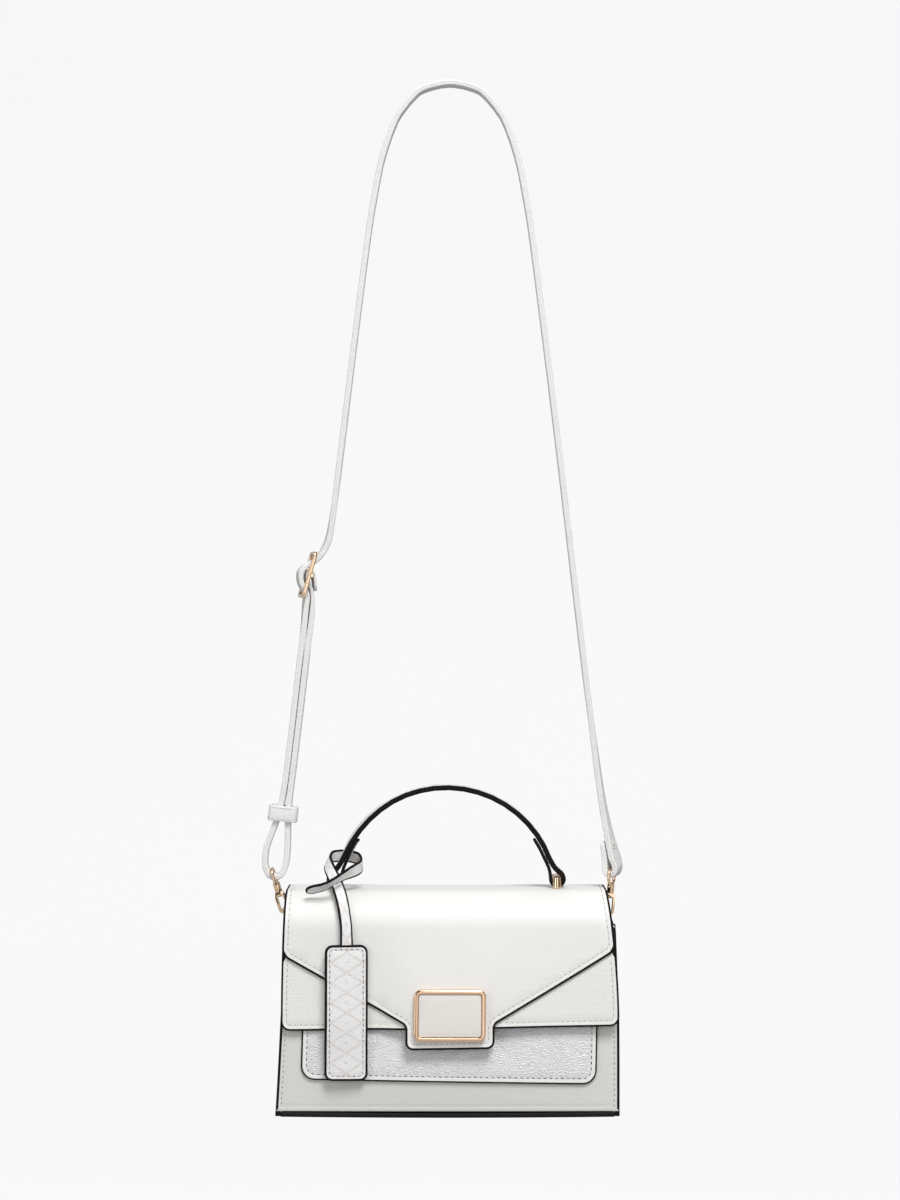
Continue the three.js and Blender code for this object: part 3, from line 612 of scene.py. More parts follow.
def rectangle(left: float, right: float, low: float, high: float, reach: float = 0.0) -> list[Corner]:
    """The corners of a rectangle, all rounded alike."""
    spots = ((left, low), (right, low), (right, high), (left, high))
    return [Corner(u, v, reach) for u, v in spots]


def both_sides(right: Sequence[Corner]) -> list[Corner]:
    """An outline's corners on the right, then the same ones on the left."""
    return [*right, *(Corner(-c.u, c.v, c.reach) for c in reversed(right))]


@dataclass
class Cut:
    """A piece cut flat, with a rounded edge, edge paint and a sewn groove, then sliced and bent.

    The flat piece lies in u and v, and w runs through its thickness from the back to the front.
    """

    corners: Sequence[Corner]
    thickness: float
    edge_round: float
    paint: float = 0.0
    painted: Test = everywhere
    seam_inset: float = 0.0
    groove: float = 0.22
    groove_half: float = 0.8
    two_sided: bool = False
    rimmed: bool = False
    corner_steps: int = 6
    edge_steps: int = 3
    seam: list[Vector] = field(default_factory=list)

    def build(self) -> BMesh:
        """Makes the flat piece and keeps its seam's line.

        Returns:
            The mesh, with painted faces at index 1 and any rim at 2.
        """
        bm = bmesh.new()
        bm.loops.layers.uv.new(PATTERN)
        bm.faces.new([bm.verts.new((c.u, c.v, 0.0)) for c in self.corners])
        self._round_corners(bm)
        raise_faces(bm, bm.faces[:], self.thickness, keep=True)
        bmesh.ops.recalc_face_normals(bm, faces=bm.faces)
        level = [e for e in bm.edges if abs(e.verts[0].co.z - e.verts[1].co.z) < WELD]
        round_off(bm, level, self.edge_round, self.edge_steps, Rounding.EDGES)
        front = max((f for f in bm.faces if f.normal.z > 0.9), key=lambda f: f.calc_area())
        back = max((f for f in bm.faces if f.normal.z < -0.9), key=lambda f: f.calc_area())
        for face in bm.faces:
            if face not in (front, back) and self.painted(face.calc_center_median()):
                face.material_index = 1
        for face in (front, back) if self.two_sided else (front,):
            self._work_face(bm, face)
        return bm

    def _round_corners(self, bm: BMesh) -> None:
        """Rounds the flat outline's corners.

        Args:
            bm: The flat outline.
        """
        for reach in sorted({c.reach for c in self.corners if c.reach > 0}):
            spots = [Vector((c.u, c.v, 0.0)) for c in self.corners if c.reach == reach]
            picked = [v for v in bm.verts if any((v.co - spot).length < WELD for spot in spots)]
            round_off(bm, picked, reach, self.corner_steps, Rounding.CORNERS)

    def _work_face(self, bm: BMesh, face: bmesh.types.BMFace) -> None:
        """Lets the paint run over a face's rim and presses the seam's groove into it.

        Args:
            bm: The piece.
            face: Its front or its back.
        """
        if self.paint > 0:
            for ring in self._inset(bm, face, self.paint, 0.0):
                if self.painted(ring.calc_center_median()):
                    ring.material_index = 1
        if self.seam_inset > 0:
            margin = self.seam_inset - self.edge_round - self.paint - self.groove_half
            margins = self._inset(bm, face, margin, 0.0)
            margins += self._inset(bm, face, self.groove_half, -self.groove)
            if self.rimmed:
                for ring in margins:
                    ring.material_index = 2
            self.seam = [v.co.copy() for v in face.verts]
            self._inset(bm, face, self.groove_half, self.groove)

    @staticmethod
    def _inset(bm: BMesh, face: bmesh.types.BMFace, width: float, depth: float) -> list:
        """Insets one face evenly.

        Args:
            bm: The piece.
            face: The face, which shrinks.
            width: How far in its edges go.
            depth: How far up it goes.

        Returns:
            The ring of faces round it.
        """
        made = bmesh.ops.inset_region(
            bm, faces=[face], thickness=width, depth=depth, use_even_offset=True, use_boundary=True
        )
        return made["faces"]


def slice_at(bm: BMesh, axis: Axis, places: Sequence[float]) -> None:
    """Cuts every face where it crosses some places on one axis.

    Args:
        bm: The flat piece.
        axis: The axis.
        places: The places on it.
    """
    normal = Vector((0.0, 0.0, 0.0))
    normal[axis.value] = 1.0
    for place in places:
        everything = bm.verts[:] + bm.edges[:] + bm.faces[:]
        bmesh.ops.bisect_plane(bm, geom=everything, dist=WELD, plane_co=normal * place, plane_no=normal)


def move(bm: BMesh, shape: Bend) -> None:
    """Carries every point of a mesh to a new place.

    Args:
        bm: The mesh.
        shape: Where a point goes.
    """
    for vert in bm.verts:
        vert.co = shape(vert.co)
    bm.normal_update()


def bend(bm: BMesh, shape: Bend) -> None:
    """Keeps the flat places as the pattern's coordinates, then bends the piece into shape.

    Args:
        bm: The flat piece.
        shape: How it is bent.
    """
    layer = bm.loops.layers.uv[PATTERN]
    for face in bm.faces:
        for loop in face.loops:
            place = loop.vert.co
            loop[layer].uv = (place.x * MM, (place.y + place.z) * MM)
    move(bm, shape)


def placed(spot: Sequence[float], angle: float, axis: str) -> Matrix:
    """A turn about one axis, then a move to a spot."""
    return Matrix.Translation(spot) @ Matrix.Rotation(angle, 4, axis)


# Stitches


@dataclass
class Stitching:
    """Rows of stitches that become one piece, with the size of a stitch and of the hole before it."""

    pitch: float = 3.6
    width: float = 0.75
    height: float = 0.32
    gap: float = 0.9
    hole: float = 0.75
    hole_stretch: float = 1.1
    thread_lift: float = 0.05
    hole_lift: float = 0.07
    probe: float = 0.02
    threads: list[Matrix] = field(default_factory=list)
    holes: list[Matrix] = field(default_factory=list)

    def __post_init__(self) -> None:
        """Makes one thread and one needle hole to repeat."""
        bm = bmesh.new()
        bmesh.ops.create_uvsphere(bm, u_segments=6, v_segments=5, radius=0.5)
        self.thread_mesh = self._arrays(bm)
        bm = bmesh.new()
        # The needle hole is a flat disc that carries the painted shade of the hole.
        bmesh.ops.create_circle(bm, cap_ends=True, segments=8, radius=0.5)
        self.hole_mesh = self._arrays(bm)

    @staticmethod
    def _arrays(bm: BMesh) -> tuple[np.ndarray, list[list[int]]]:
        """Takes a small mesh apart, for copying.

        Args:
            bm: The mesh, which is freed.

        Returns:
            Its points and its faces.
        """
        bm.verts.index_update()
        points = np.array([(*v.co, 1.0) for v in bm.verts])
        faces = [[v.index for v in f.verts] for f in bm.faces]
        bm.free()
        return points, faces

    def row(
        self, places: Sequence[Vector], shape: Bend, keep: Test = everywhere, closed: bool = True
    ) -> None:
        """Sews along a line on a flat piece that is then bent.

        Args:
            places: The line's points on the flat piece.
            shape: How the piece is bent.
            keep: Whether a stitch at a flat place is sewn.
            closed: Whether the line comes back to its start.
        """
        line = [p.copy() for p in places] + ([places[0].copy()] if closed else [])
        lengths = [0.0]
        for first, second in zip(line, line[1:]):
            lengths.append(lengths[-1] + (second - first).length)
        count = max(1, round(lengths[-1] / self.pitch))
        pitch = lengths[-1] / count

        def spot(run: float) -> Vector:
            """The flat place at a distance along the line.

            Args:
                run: The distance.

            Returns:
                The place.
            """
            at = min(max(bisect.bisect_right(lengths, run) - 1, 0), len(line) - 2)
            share = (run - lengths[at]) / max(lengths[at + 1] - lengths[at], TINY)
            return line[at].lerp(line[at + 1], share)

        for i in range(count):
            ends = [spot(i * pitch + self.gap / 2), spot((i + 1) * pitch - self.gap / 2)]
            if not keep((ends[0] + ends[1]) / 2):
                continue
            self._sew(*ends, spot(i * pitch), shape)

    def _sew(self, start: Vector, end: Vector, hole: Vector, shape: Bend) -> None:
        """Adds one stitch, with the hole before it.

        Args:
            start: The flat place where it starts.
            end: The flat place where it ends.
            hole: The flat place of its needle hole.
            shape: How the piece is bent.
        """
        # A seam's line is near the front face's height, or near 0 on the back.
        out = Vector((0.0, 0.0, self.probe if start.z > 0.5 else -self.probe))
        first, second = shape(start), shape(end)
        middle = (start + end) / 2
        normal = (shape(middle + out) - shape(middle)).normalized()
        along = (second - first).normalized()
        across = normal.cross(along).normalized()
        turn = Matrix((along, across, normal)).transposed().to_4x4()
        spot = (first + second) / 2 + normal * self.thread_lift
        size = Matrix.Diagonal(((second - first).length, self.width, self.height, 1.0))
        self.threads.append(Matrix.Translation(spot) @ turn @ size)
        spot = shape(hole) + normal * self.hole_lift
        size = Matrix.Diagonal((self.gap * self.hole_stretch, self.hole, 1.0, 1.0))
        self.holes.append(Matrix.Translation(spot) @ turn @ size)

    def piece(self, name: str, thread: Material, hole: Material, slot: Slot) -> None:
        """Joins the stitches into one piece.

        Args:
            name: The piece's name.
            thread: The thread's material.
            hole: The needle holes' material, painted dark as their shade.
            slot: The record's slot for its finish; not used.
        """
        points, faces, kinds, start = [], [], [], 0
        for kind, (proto, rings), places in (
            (0, self.thread_mesh, self.threads),
            (1, self.hole_mesh, self.holes),
        ):
            for place in places:
                points.append((proto @ np.array(place).T)[:, :3])
                faces.extend([[start + i for i in ring] for ring in rings])
                kinds.extend([kind] * len(rings))
                start += len(proto)
        joined = np.concatenate(points) * MM - np.array((0.0, 0.0, DROP))
        mesh = bpy.data.meshes.new(name)
        mesh.from_pydata(joined.tolist(), [], faces)
        mesh.materials.append(thread)
        mesh.materials.append(hole)
        mesh.polygons.foreach_set("material_index", kinds)
        mesh.shade_smooth()
        made = bpy.data.objects.new(name, mesh)
        bpy.context.scene.collection.objects.link(made)
        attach(made, BODY)
        log.info("%s: %d stitches", name, len(self.threads))


# Paths


class Row(NamedTuple):
    """A listed point on the centre line of a strip seen edge-on, with its thickness there."""

    x: float
    h: float
    t: float = 3.8


class Station(NamedTuple):
    """A place along a route: its point, its three directions and the strip's thickness."""

    point: Vector
    along: Vector
    across: Vector
    normal: Vector
    thickness: float


class Route:
    """A smooth line through a few points, which a strip follows."""

    FINE = 20
    MAX_TURN = 0.13
    MAX_STEP = 10.0

    def __init__(
        self,
        points: Sequence[Vector],
        across: Sequence[Vector],
        thickness: Sequence[float],
        twist: Callable[[Vector], float] = lambda point: 0.0,
    ) -> None:
        """Smooths the line.

        Args:
            points: The points that it passes through.
            across: The strip's crosswise direction at each point.
            thickness: The strip's thickness at each point.
            twist: How far the strip turns about its own line at a point, in radians.
        """
        self.twist = twist
        self.points = smooth_line(points, self.FINE)
        spans = len(points) - 1
        self.across = []
        self.thickness = []
        for i in range(len(self.points)):
            at = min(i // self.FINE, spans - 1)
            share = i / self.FINE - at
            self.across.append(across[at].lerp(across[at + 1], share))
            self.thickness.append(thickness[at] + (thickness[at + 1] - thickness[at]) * share)
        self.runs = [0.0]
        for first, second in zip(self.points, self.points[1:]):
            self.runs.append(self.runs[-1] + (second - first).length)

    @property
    def length(self) -> float:
        """The whole line's length."""
        return self.runs[-1]

    def at(self, run: float) -> Station:
        """Finds the station at a distance along the line.

        Args:
            run: The distance from its start.

        Returns:
            The station.
        """
        i = min(max(bisect.bisect_right(self.runs, run) - 1, 0), len(self.points) - 2)
        share = (run - self.runs[i]) / max(self.runs[i + 1] - self.runs[i], TINY)
        point = self.points[i].lerp(self.points[i + 1], share)
        first = (self.points[i + 1] - self.points[max(i - 1, 0)]).normalized()
        second = (self.points[min(i + 2, len(self.points) - 1)] - self.points[i]).normalized()
        along = first.lerp(second, min(max(share, 0.0), 1.0)).normalized()
        across = self.across[i].lerp(self.across[i + 1], share)
        across = (across - along * across.dot(along)).normalized()
        turn = self.twist(point)
        if turn:
            across = Matrix.Rotation(turn, 3, along) @ across
        thickness = self.thickness[i] + (self.thickness[i + 1] - self.thickness[i]) * share
        return Station(point, along, across, along.cross(across), thickness)

    def stops(self) -> list[float]:
        """Picks places to slice a strip: close together where it bends, further apart where it is straight.

        Returns:
            The places, as distances along the line.
        """
        kept, turned, last = [], 0.0, 0.0
        for i in range(1, len(self.points) - 1):
            before = self.points[i] - self.points[i - 1]
            after = self.points[i + 1] - self.points[i]
            if before.length > TINY and after.length > TINY:
                turned += before.angle(after)
            if turned > self.MAX_TURN or self.runs[i] - last > self.MAX_STEP:
                kept.append(self.runs[i])
                turned, last = 0.0, self.runs[i]
        return kept


def smooth_line(points: Sequence[Vector], fine: int) -> list[Vector]:
    """A centripetal Catmull-Rom line through points.

    Args:
        points: The points to pass through.
        fine: How many steps each span is cut into.

    Returns:
        The line's points.
    """
    ahead = points[0] * 2 - points[1]
    behind = points[-1] * 2 - points[-2]
    padded = [ahead, *points, behind]
    line = []
    for p0, p1, p2, p3 in zip(padded, padded[1:], padded[2:], padded[3:]):
        d0, d1, d2 = ((b - a).length ** 0.5 for a, b in ((p0, p1), (p1, p2), (p2, p3)))
        m1 = ((p1 - p0) / d0 - (p2 - p0) / (d0 + d1) + (p2 - p1) / d1) * d1
        m2 = ((p2 - p1) / d1 - (p3 - p1) / (d1 + d2) + (p3 - p2) / d2) * d1
        for i in range(fine):
            t = i / fine
            a = p2 * 3 - p1 * 3 - m1 * 2 - m2
            b = p1 * 2 - p2 * 2 + m1 + m2
            line.append(p1 + m1 * t + a * t**2 + b * t**3)
    return [*line, points[-1].copy()]


def edge_on(
    rows: Sequence[Row], y: float = 0.0, twist: Callable[[Vector], float] = lambda point: 0.0
) -> Route:
    """Lays a route that is seen edge-on from the front, with the strip's width running front to back.

    Args:
        rows: The points on it.
        y: How far back it lies.
        twist: How far the strip turns about its own line at a point, in radians.

    Returns:
        The route.
    """
    across = Vector((0.0, 1.0, 0.0))
    points = [Vector((row.x, y, row.h)) for row in rows]
    return Route(points, [across] * len(rows), [row.t for row in rows], twist)


@dataclass(frozen=True)
class Swirl:
    """A turn about an upright axis that changes with height and twists whatever hangs on that axis.

    Each row of turns is a height and an angle in degrees.
    """

    axis_x: float
    turns: tuple[Pair, ...]

    def carry(self, point: Vector) -> Vector:
        """Turns one point by the angle at its height.

        Args:
            point: The point.

        Returns:
            The point's new place.
        """
        heights, angles = zip(*self.turns)
        angle = radians(float(np.interp(point.z, heights, angles)))
        away = point.x - self.axis_x
        x = away * cos(angle) - point.y * sin(angle)
        y = away * sin(angle) + point.y * cos(angle)
        return Vector((self.axis_x + x, y, point.z))


@dataclass
class Strip:
    """A long strip of leather that follows a route."""

    route: Route
    width: float
    thickness: float
    edge_round: float
    paint: float = 0.0
    seam_inset: float = 0.0
    groove: float = 0.14
    groove_half: float = 0.6
    edge_score: float = 0.0
    score_half: float = 0.3
    end_reach: float = 4.2
    end_steps: int = 4
    edges_painted: bool = True
    after: Bend = lambda point: point

    def build(self) -> tuple[BMesh, list[list[Vector]]]:
        """Cuts, slices and bends the strip.

        Returns:
            Its mesh, and the flat lines of its seams on the front and the back.
        """
        half = self.width / 2
        cut = Cut(
            rectangle(0.0, self.route.length, -half, half, self.end_reach),
            self.thickness, self.edge_round, self.paint, painted=lambda place: self.edges_painted,
            seam_inset=self.seam_inset, groove=self.groove, groove_half=self.groove_half,
            two_sided=True, corner_steps=self.end_steps,
        )
        bm = cut.build()
        if self.edge_score > 0:
            self._score_edges(bm)
        slice_at(bm, Axis.U, self.route.stops())
        bend(bm, self.shape)
        levels = (self.thickness - self.groove, self.groove) if cut.seam else ()
        return bm, [[Vector((p.x, p.y, level)) for p in cut.seam] for level in levels]

    def _score_edges(self, bm: BMesh) -> None:
        """Scores a line along the middle of both long edges, where the two layers meet.

        Args:
            bm: The flat strip.
        """
        middle, near = self.thickness / 2, 0.01
        slice_at(bm, Axis.W, (middle - self.score_half, middle, middle + self.score_half))
        for vert in bm.verts:
            out = abs(vert.co.y) > self.width / 2 - near
            if out and abs(vert.co.z - middle) < near:
                vert.co.y -= copysign(self.edge_score, vert.co.y)

    def shape(self, place: Vector) -> Vector:
        """Carries a flat place onto the route, and through any bend after that.

        Args:
            place: The flat place.

        Returns:
            The place on the finished strip.
        """
        station = self.route.at(place.x)
        through = (place.z / self.thickness - 0.5) * station.thickness
        return self.after(station.point + station.across * place.y + station.normal * through)


# Metal


def rounded_loop(half: float, low: float, high: float, corner: float, count: int) -> list[Vector]:
    """Draws a closed rounded rectangle in the plane across X.

    Args:
        half: Half its width, front to back.
        low: The height of its lower side.
        high: The height of its upper side.
        corner: How far its corners are rounded.
        count: How many steps make a corner.

    Returns:
        Its points, in Y and Z.
    """
    centres = [
        (half - corner, low + corner, -90.0),
        (half - corner, high - corner, 0.0),
        (-half + corner, high - corner, 90.0),
        (-half + corner, low + corner, 180.0),
    ]
    points = []
    for y, z, start in centres:
        for i in range(count + 1):
            angle = radians(start + 90.0 * i / count)
            points.append(Vector((0.0, y + corner * cos(angle), z + corner * sin(angle))))
    return points


def wire_loop(points: Sequence[Vector], radius: float, sides: int = 14) -> BMesh:
    """Closes a round wire through points in the plane across X.

    Args:
        points: The loop's points, in order.
        radius: The wire's radius.
        sides: How many sides the wire has.

    Returns:
        The wire's mesh.
    """
    count = len(points)
    bm = bmesh.new()
    bmesh.ops.create_grid(bm, x_segments=count, y_segments=sides, size=1.0)
    across = Vector((1.0, 0.0, 0.0))
    for vert in bm.verts:
        i = round((vert.co.x + 1) / 2 * count) % count
        turn = round((vert.co.y + 1) / 2 * sides) % sides * 2 * pi / sides
        along = (points[(i + 1) % count] - points[i - 1]).normalized()
        out = across.cross(along)
        vert.co = points[i] + across * (radius * cos(turn)) + out * (radius * sin(turn))
    bmesh.ops.remove_doubles(bm, verts=bm.verts, dist=WELD)
    bmesh.ops.recalc_face_normals(bm, faces=bm.faces)
    return bm


class Ring(NamedTuple):
    """One step of a turned profile: its radius and its height."""

    radius: float
    height: float


def turned(profile: Sequence[Ring], matrix: Matrix, sides: int = 24) -> BMesh:
    """Spins a profile that starts and ends on its axis.

    Args:
        profile: The profile's steps, from the bottom up.
        matrix: Where the turned piece goes.
        sides: How many sides it has.

    Returns:
        The turned piece's mesh.
    """
    bm = bmesh.new()
    verts = [bm.verts.new((ring.radius, 0.0, ring.height)) for ring in profile]
    edges = [bm.edges.new(pair) for pair in zip(verts, verts[1:])]
    bmesh.ops.spin(
        bm, geom=verts + edges, cent=(0, 0, 0), axis=(0, 0, 1), angle=2 * pi, steps=sides,
        use_merge=True, use_duplicate=False,
    )
    bmesh.ops.remove_doubles(bm, verts=bm.verts, dist=WELD)
    bmesh.ops.recalc_face_normals(bm, faces=bm.faces)
    bmesh.ops.transform(bm, matrix=matrix, verts=bm.verts)
    return bm


class Groove(NamedTuple):
    """A groove round a frame's face: how far in it starts, how wide it is and how deep."""

    start: float
    width: float
    depth: float


def frame_slab(
    half_u: float,
    half_v: float,
    corner: float,
    border: float,
    depth: float,
    rounds: Pair,
    groove: Groove | None = None,
) -> BMesh:
    """Makes a flat rectangular frame with rounded corners.

    Args:
        half_u: Half its width.
        half_v: Half its height.
        corner: How far its outer corners are rounded.
        border: The width of its border.
        depth: Its depth, from w 0 up.
        rounds: The rounding of its outer and of its inner edges.
        groove: A groove to press into its face.

    Returns:
        The frame's mesh.
    """
    bm = bmesh.new()
    verts = [bm.verts.new((c.u, c.v, 0.0)) for c in rectangle(-half_u, half_u, -half_v, half_v)]
    bm.faces.new(verts)
    round_off(bm, verts, corner, 8, Rounding.CORNERS)
    hole = bm.faces[:]
    bands = [border]
    if groove:
        bands = [groove.start, groove.width, border - groove.start - groove.width]
    for i, width in enumerate(bands):
        made = bmesh.ops.inset_region(
            bm, faces=hole, thickness=width, use_even_offset=True, use_boundary=True
        )
        for face in made["faces"]:
            face.material_index = int(i == 1)
    bmesh.ops.delete(bm, geom=hole, context="FACES")
    raise_faces(bm, bm.faces[:], depth, keep=True)
    bmesh.ops.recalc_face_normals(bm, faces=bm.faces)
    rims: dict[bool, list] = {True: [], False: []}
    for edge in bm.edges:
        turns = [f.normal.z for f in edge.link_faces]
        if edge.calc_face_angle(0.0) > 1.0 and any(abs(z) > 0.9 for z in turns):
            wall = next(f for f in edge.link_faces if abs(f.normal.z) < 0.5)
            middle = wall.calc_center_median()
            rims[wall.normal.dot(Vector((middle.x, middle.y, 0.0))) > 0].append(edge)
    for outer, width in zip((True, False), rounds):
        kept = [e for e in rims[outer] if e.is_valid]
        round_off(bm, kept, width, 3, Rounding.EDGES)
    sunk = [f for f in bm.faces if f.material_index == 1 and f.normal.z > 0.9]
    if sunk:
        raise_faces(bm, sunk, -groove.depth, keep=False)
    for face in bm.faces:
        face.material_index = 0
    return bm


def eased_copy(node: str, width: float) -> BMesh:
    """Copies a hard solid, in millimetres from the base, with its facets joined and its edges eased.

    Args:
        node: The solid's name.
        width: How far its sharp edges are eased.

    Returns:
        The copy's mesh.
    """
    weld, flat, sharp = 0.003, radians(2.0), radians(40.0)
    bm = bmesh.new()
    bm.from_mesh(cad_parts[node].data)
    bmesh.ops.translate(bm, vec=(0.0, 0.0, DROP), verts=bm.verts)
    bmesh.ops.scale(bm, vec=(1 / MM, 1 / MM, 1 / MM), verts=bm.verts)
    bmesh.ops.remove_doubles(bm, verts=bm.verts, dist=weld)
    bmesh.ops.dissolve_limit(bm, angle_limit=flat, verts=bm.verts, edges=bm.edges)
    crisp = [e for e in bm.edges if e.is_manifold and e.calc_face_angle(0.0) > sharp]
    round_off(bm, crisp, width, 2, Rounding.EDGES, clamp=True)
    return bm


# The bag


@dataclass(frozen=True)
class Walls:
    """The leaning front and back walls that everything on the bag's faces follows."""

    half_width: float = 110.0
    foot_flare: float = 1.5
    shoulder_taper: float = 2.4
    waist: float = 60.0
    half_depth: float = 42.0
    lean: float = 0.06
    top: float = 126.0
    swell: float = 3.5
    swell_middle: float = 30.0
    swell_spread: float = 26.0
    foot_sway: float = -1.7
    sway_height: float = 70.0
    sway_power: float = 1.3

    def half(self, v: float) -> float:
        """Half the walls' width at a height: flared at the foot and drawn in at the top.

        Args:
            v: The height.

        Returns:
            Half the width.
        """
        foot = max(0.0, 1 - v / self.waist)
        shoulder = max(0.0, (v - self.waist) / (self.top - self.waist))
        return self.half_width + self.foot_flare * foot - self.shoulder_taper * shoulder

    def sway(self, v: float) -> float:
        """How far the soft box leans over sideways at a height."""
        return self.foot_sway * max(0.0, 1 - v / self.sway_height) ** self.sway_power

    def bulge(self, u: float, v: float) -> float:
        """How far the soft wall stands out of its plane."""
        across = max(0.0, 1 - (u / self.half_width) ** 2)
        return self.swell * across * exp(-(((v - self.swell_middle) / self.swell_spread) ** 2))

    def onto(self, face: Face, base: float, soft: float = 1.0) -> Bend:
        """Makes the bend of a flat piece onto the front or the back wall.

        Args:
            face: The wall.
            base: How far the piece's back lies out from the wall's face.
            soft: The share of the wall's swell that it follows.

        Returns:
            The bend.
        """

        def shape(place: Vector) -> Vector:
            """Carries one flat place onto the wall.

            Args:
                place: The flat place.

            Returns:
                Its place on the wall.
            """
            out = base + place.z + soft * self.bulge(place.x, place.y)
            depth = self.half_depth - self.lean * place.y + out
            return Vector((self.sway(place.y) - face.value * place.x, face.value * depth, place.y))

        return shape


@dataclass
class Body:
    """The bag's box: front and back panels, gussets, base and front pocket."""

    finishes: Finishes
    walls: Walls = Walls()
    panel_thickness: float = 2.0
    panel_paint: Pair = (2.2, 7.0)
    panel_sewn: Pair = (5.0, 8.0)
    shoulder_drop: float = 6.0
    shoulder_clip: float = 4.0
    foot_bottom: float = 0.4
    foot_gap: float = 0.1
    band_half: float = 108.0
    band_height: float = 3.2
    band_reach: float = 43.0
    band_inner: float = 39.6
    band_sag: float = 0.7
    base_plate: float = 2.0
    gusset_wall: float = 101.0
    gusset_thickness: float = 1.8
    gusset_bend: float = 1.7
    gusset_top: float = 124.0
    gusset_dip: float = 2.5
    dip_half: Pair = (18.0, 24.0)
    gusset_fold: float = 4.2
    fold_half: float = 33.0
    fold_low: float = 6.0
    fold_height: float = 88.0
    fold_powers: Pair = (1.4, 0.8)
    pocket_half: float = 95.8
    pocket_bottom: float = 22.6
    pocket_top: float = 100.0
    pocket_sewn: float = 66.0
    pocket_thickness: float = 1.5
    pocket_tilt: float = -0.0165
    slice_step: float = 9.0
    panel_seams: Stitching = field(default_factory=lambda: Stitching(pitch=3.4))
    pocket_seams: Stitching = field(default_factory=lambda: Stitching(pitch=3.75, gap=1.6, hole=1.1))

    def build(self) -> None:
        """Makes every piece of the body."""
        self._panel("front_panel", self.walls.onto(Face.FRONT, -self.panel_thickness))
        self._panel("back_panel", self.walls.onto(Face.BACK, -self.panel_thickness))
        for side in Side:
            self._gusset(side)
        self._base()
        self._pocket()
        self.panel_seams.piece("panel_stitches", self.finishes.thread, self.finishes.hole, Slot.WHITE)
        self.pocket_seams.piece("pocket_stitches", self.finishes.thread, self.finishes.hole, Slot.PEBBLED)

    def _panel(self, name: str, shape: Bend) -> None:
        """Makes one wall panel, painted along its sides and top, with a foot at each lower corner.

        Args:
            name: The panel's name.
            shape: How it bends onto its wall.
        """
        half, waist, top = self.walls.half, self.walls.waist, self.walls.top
        low, shoulder = self.band_height + GAP, top - self.shoulder_drop
        paint_side, paint_top = self.panel_paint
        sewn_side, sewn_top = self.panel_sewn
        corners = both_sides([
            Corner(half(low), low), Corner(half(waist), waist), Corner(half(shoulder), shoulder, 1.6),
            Corner(half(top) - self.shoulder_clip, top, 2.8),
        ])
        cut = Cut(
            corners, self.panel_thickness, edge_round=0.8, paint=0.9, seam_inset=3.5,
            painted=lambda place: abs(place.x) > half(place.y) - paint_side or place.y > top - paint_top,
        )
        bm = cut.build()
        for sign in (-1, 1):
            inner, outer = sorted((sign * (self.band_half + self.foot_gap), sign * half(0.0)))
            corners = rectangle(inner, outer, self.foot_bottom, low)
            foot = Cut(corners, self.panel_thickness, edge_round=0.25).build()
            for face in foot.faces:
                face.material_index = 1
            absorb(bm, foot)
        slice_at(bm, Axis.U, steps(-half(waist), half(waist), self.slice_step))
        slice_at(bm, Axis.V, steps(0.0, top, self.slice_step))
        bend(bm, shape)
        finish_piece(bm, name, [self.finishes.panel, self.finishes.paint], Slot.WHITE, [name])
        self.panel_seams.row(
            cut.seam, shape,
            lambda place: abs(place.x) > half(place.y) - sewn_side and place.y < top - sewn_top,
        )

    def _gusset(self, side: Side) -> None:
        """Makes one gusset: a channel whose wall folds inwards below the ring's tab.

        Args:
            side: The side that it is on.
        """
        seam, bend_radius = self.walls.half_width, self.gusset_bend
        wall = self.gusset_wall - self.gusset_thickness / 2
        flange = self.walls.half_depth - self.panel_thickness - GAP - self.gusset_thickness / 2
        turn = pi / 2 * bend_radius
        flange_run = seam - wall - bend_radius
        wall_run = flange - bend_radius
        half = wall_run + turn + flange_run
        low, top, dip = self.band_height + GAP, self.gusset_top, self.gusset_dip
        dip_low, dip_high = self.dip_half
        corners = both_sides([
            Corner(half, low), Corner(half, top, 1.0), Corner(dip_high, top, 2.0),
            Corner(dip_low, top - dip, 2.0),
        ])
        bm = Cut(corners, self.gusset_thickness, edge_round=0.7, paint=0.3, two_sided=True).build()
        places = steps(-half, -wall_run, 0.8) + steps(-wall_run, wall_run, 4.0)
        slice_at(bm, Axis.U, places + steps(wall_run, half, 0.8))
        slice_at(bm, Axis.V, steps(self.band_height, top, 6.0))

        def plan(run: float) -> tuple[Vector, Vector]:
            """Follows the channel's middle line in plan.

            Args:
                run: The distance from the middle of the wall.

            Returns:
                The point, and the outward direction there.
            """
            sign = copysign(1.0, run)
            far = abs(run)
            if far < wall_run:
                return Vector((wall, run)), Vector((1.0, 0.0))
            angle = min((far - wall_run) / bend_radius, pi / 2)
            x = wall + bend_radius * (1 - cos(angle)) + max(0.0, far - wall_run - turn)
            y = wall_run + bend_radius * sin(angle)
            return Vector((x, sign * y)), Vector((cos(angle), -sign * sin(angle)))

        def shape(place: Vector) -> Vector:
            """Carries one flat place onto the gusset.

            Args:
                place: The flat place.

            Returns:
                Its place on the gusset.
            """
            spot, away = plan(place.x)
            spot += away * (place.z - self.gusset_thickness / 2)
            share = min(1.0, max(-1.0, spot.y / flange))
            across, up = self.fold_powers
            crease = max(0.0, 1 - abs(place.x) / self.fold_half) ** across
            rise = min(1.0, max(0.0, (place.y - self.fold_low) / self.fold_height))
            height = sin(pi * rise) ** up
            out = max(0.0, (spot.x - wall) / (seam - wall))
            x = spot.x - self.gusset_fold * crease * height + (self.walls.half(place.y) - seam) * out
            x = side.value * x + self.walls.sway(place.y)
            return Vector((x, side.value * (spot.y - share * self.walls.lean * place.y), place.y))

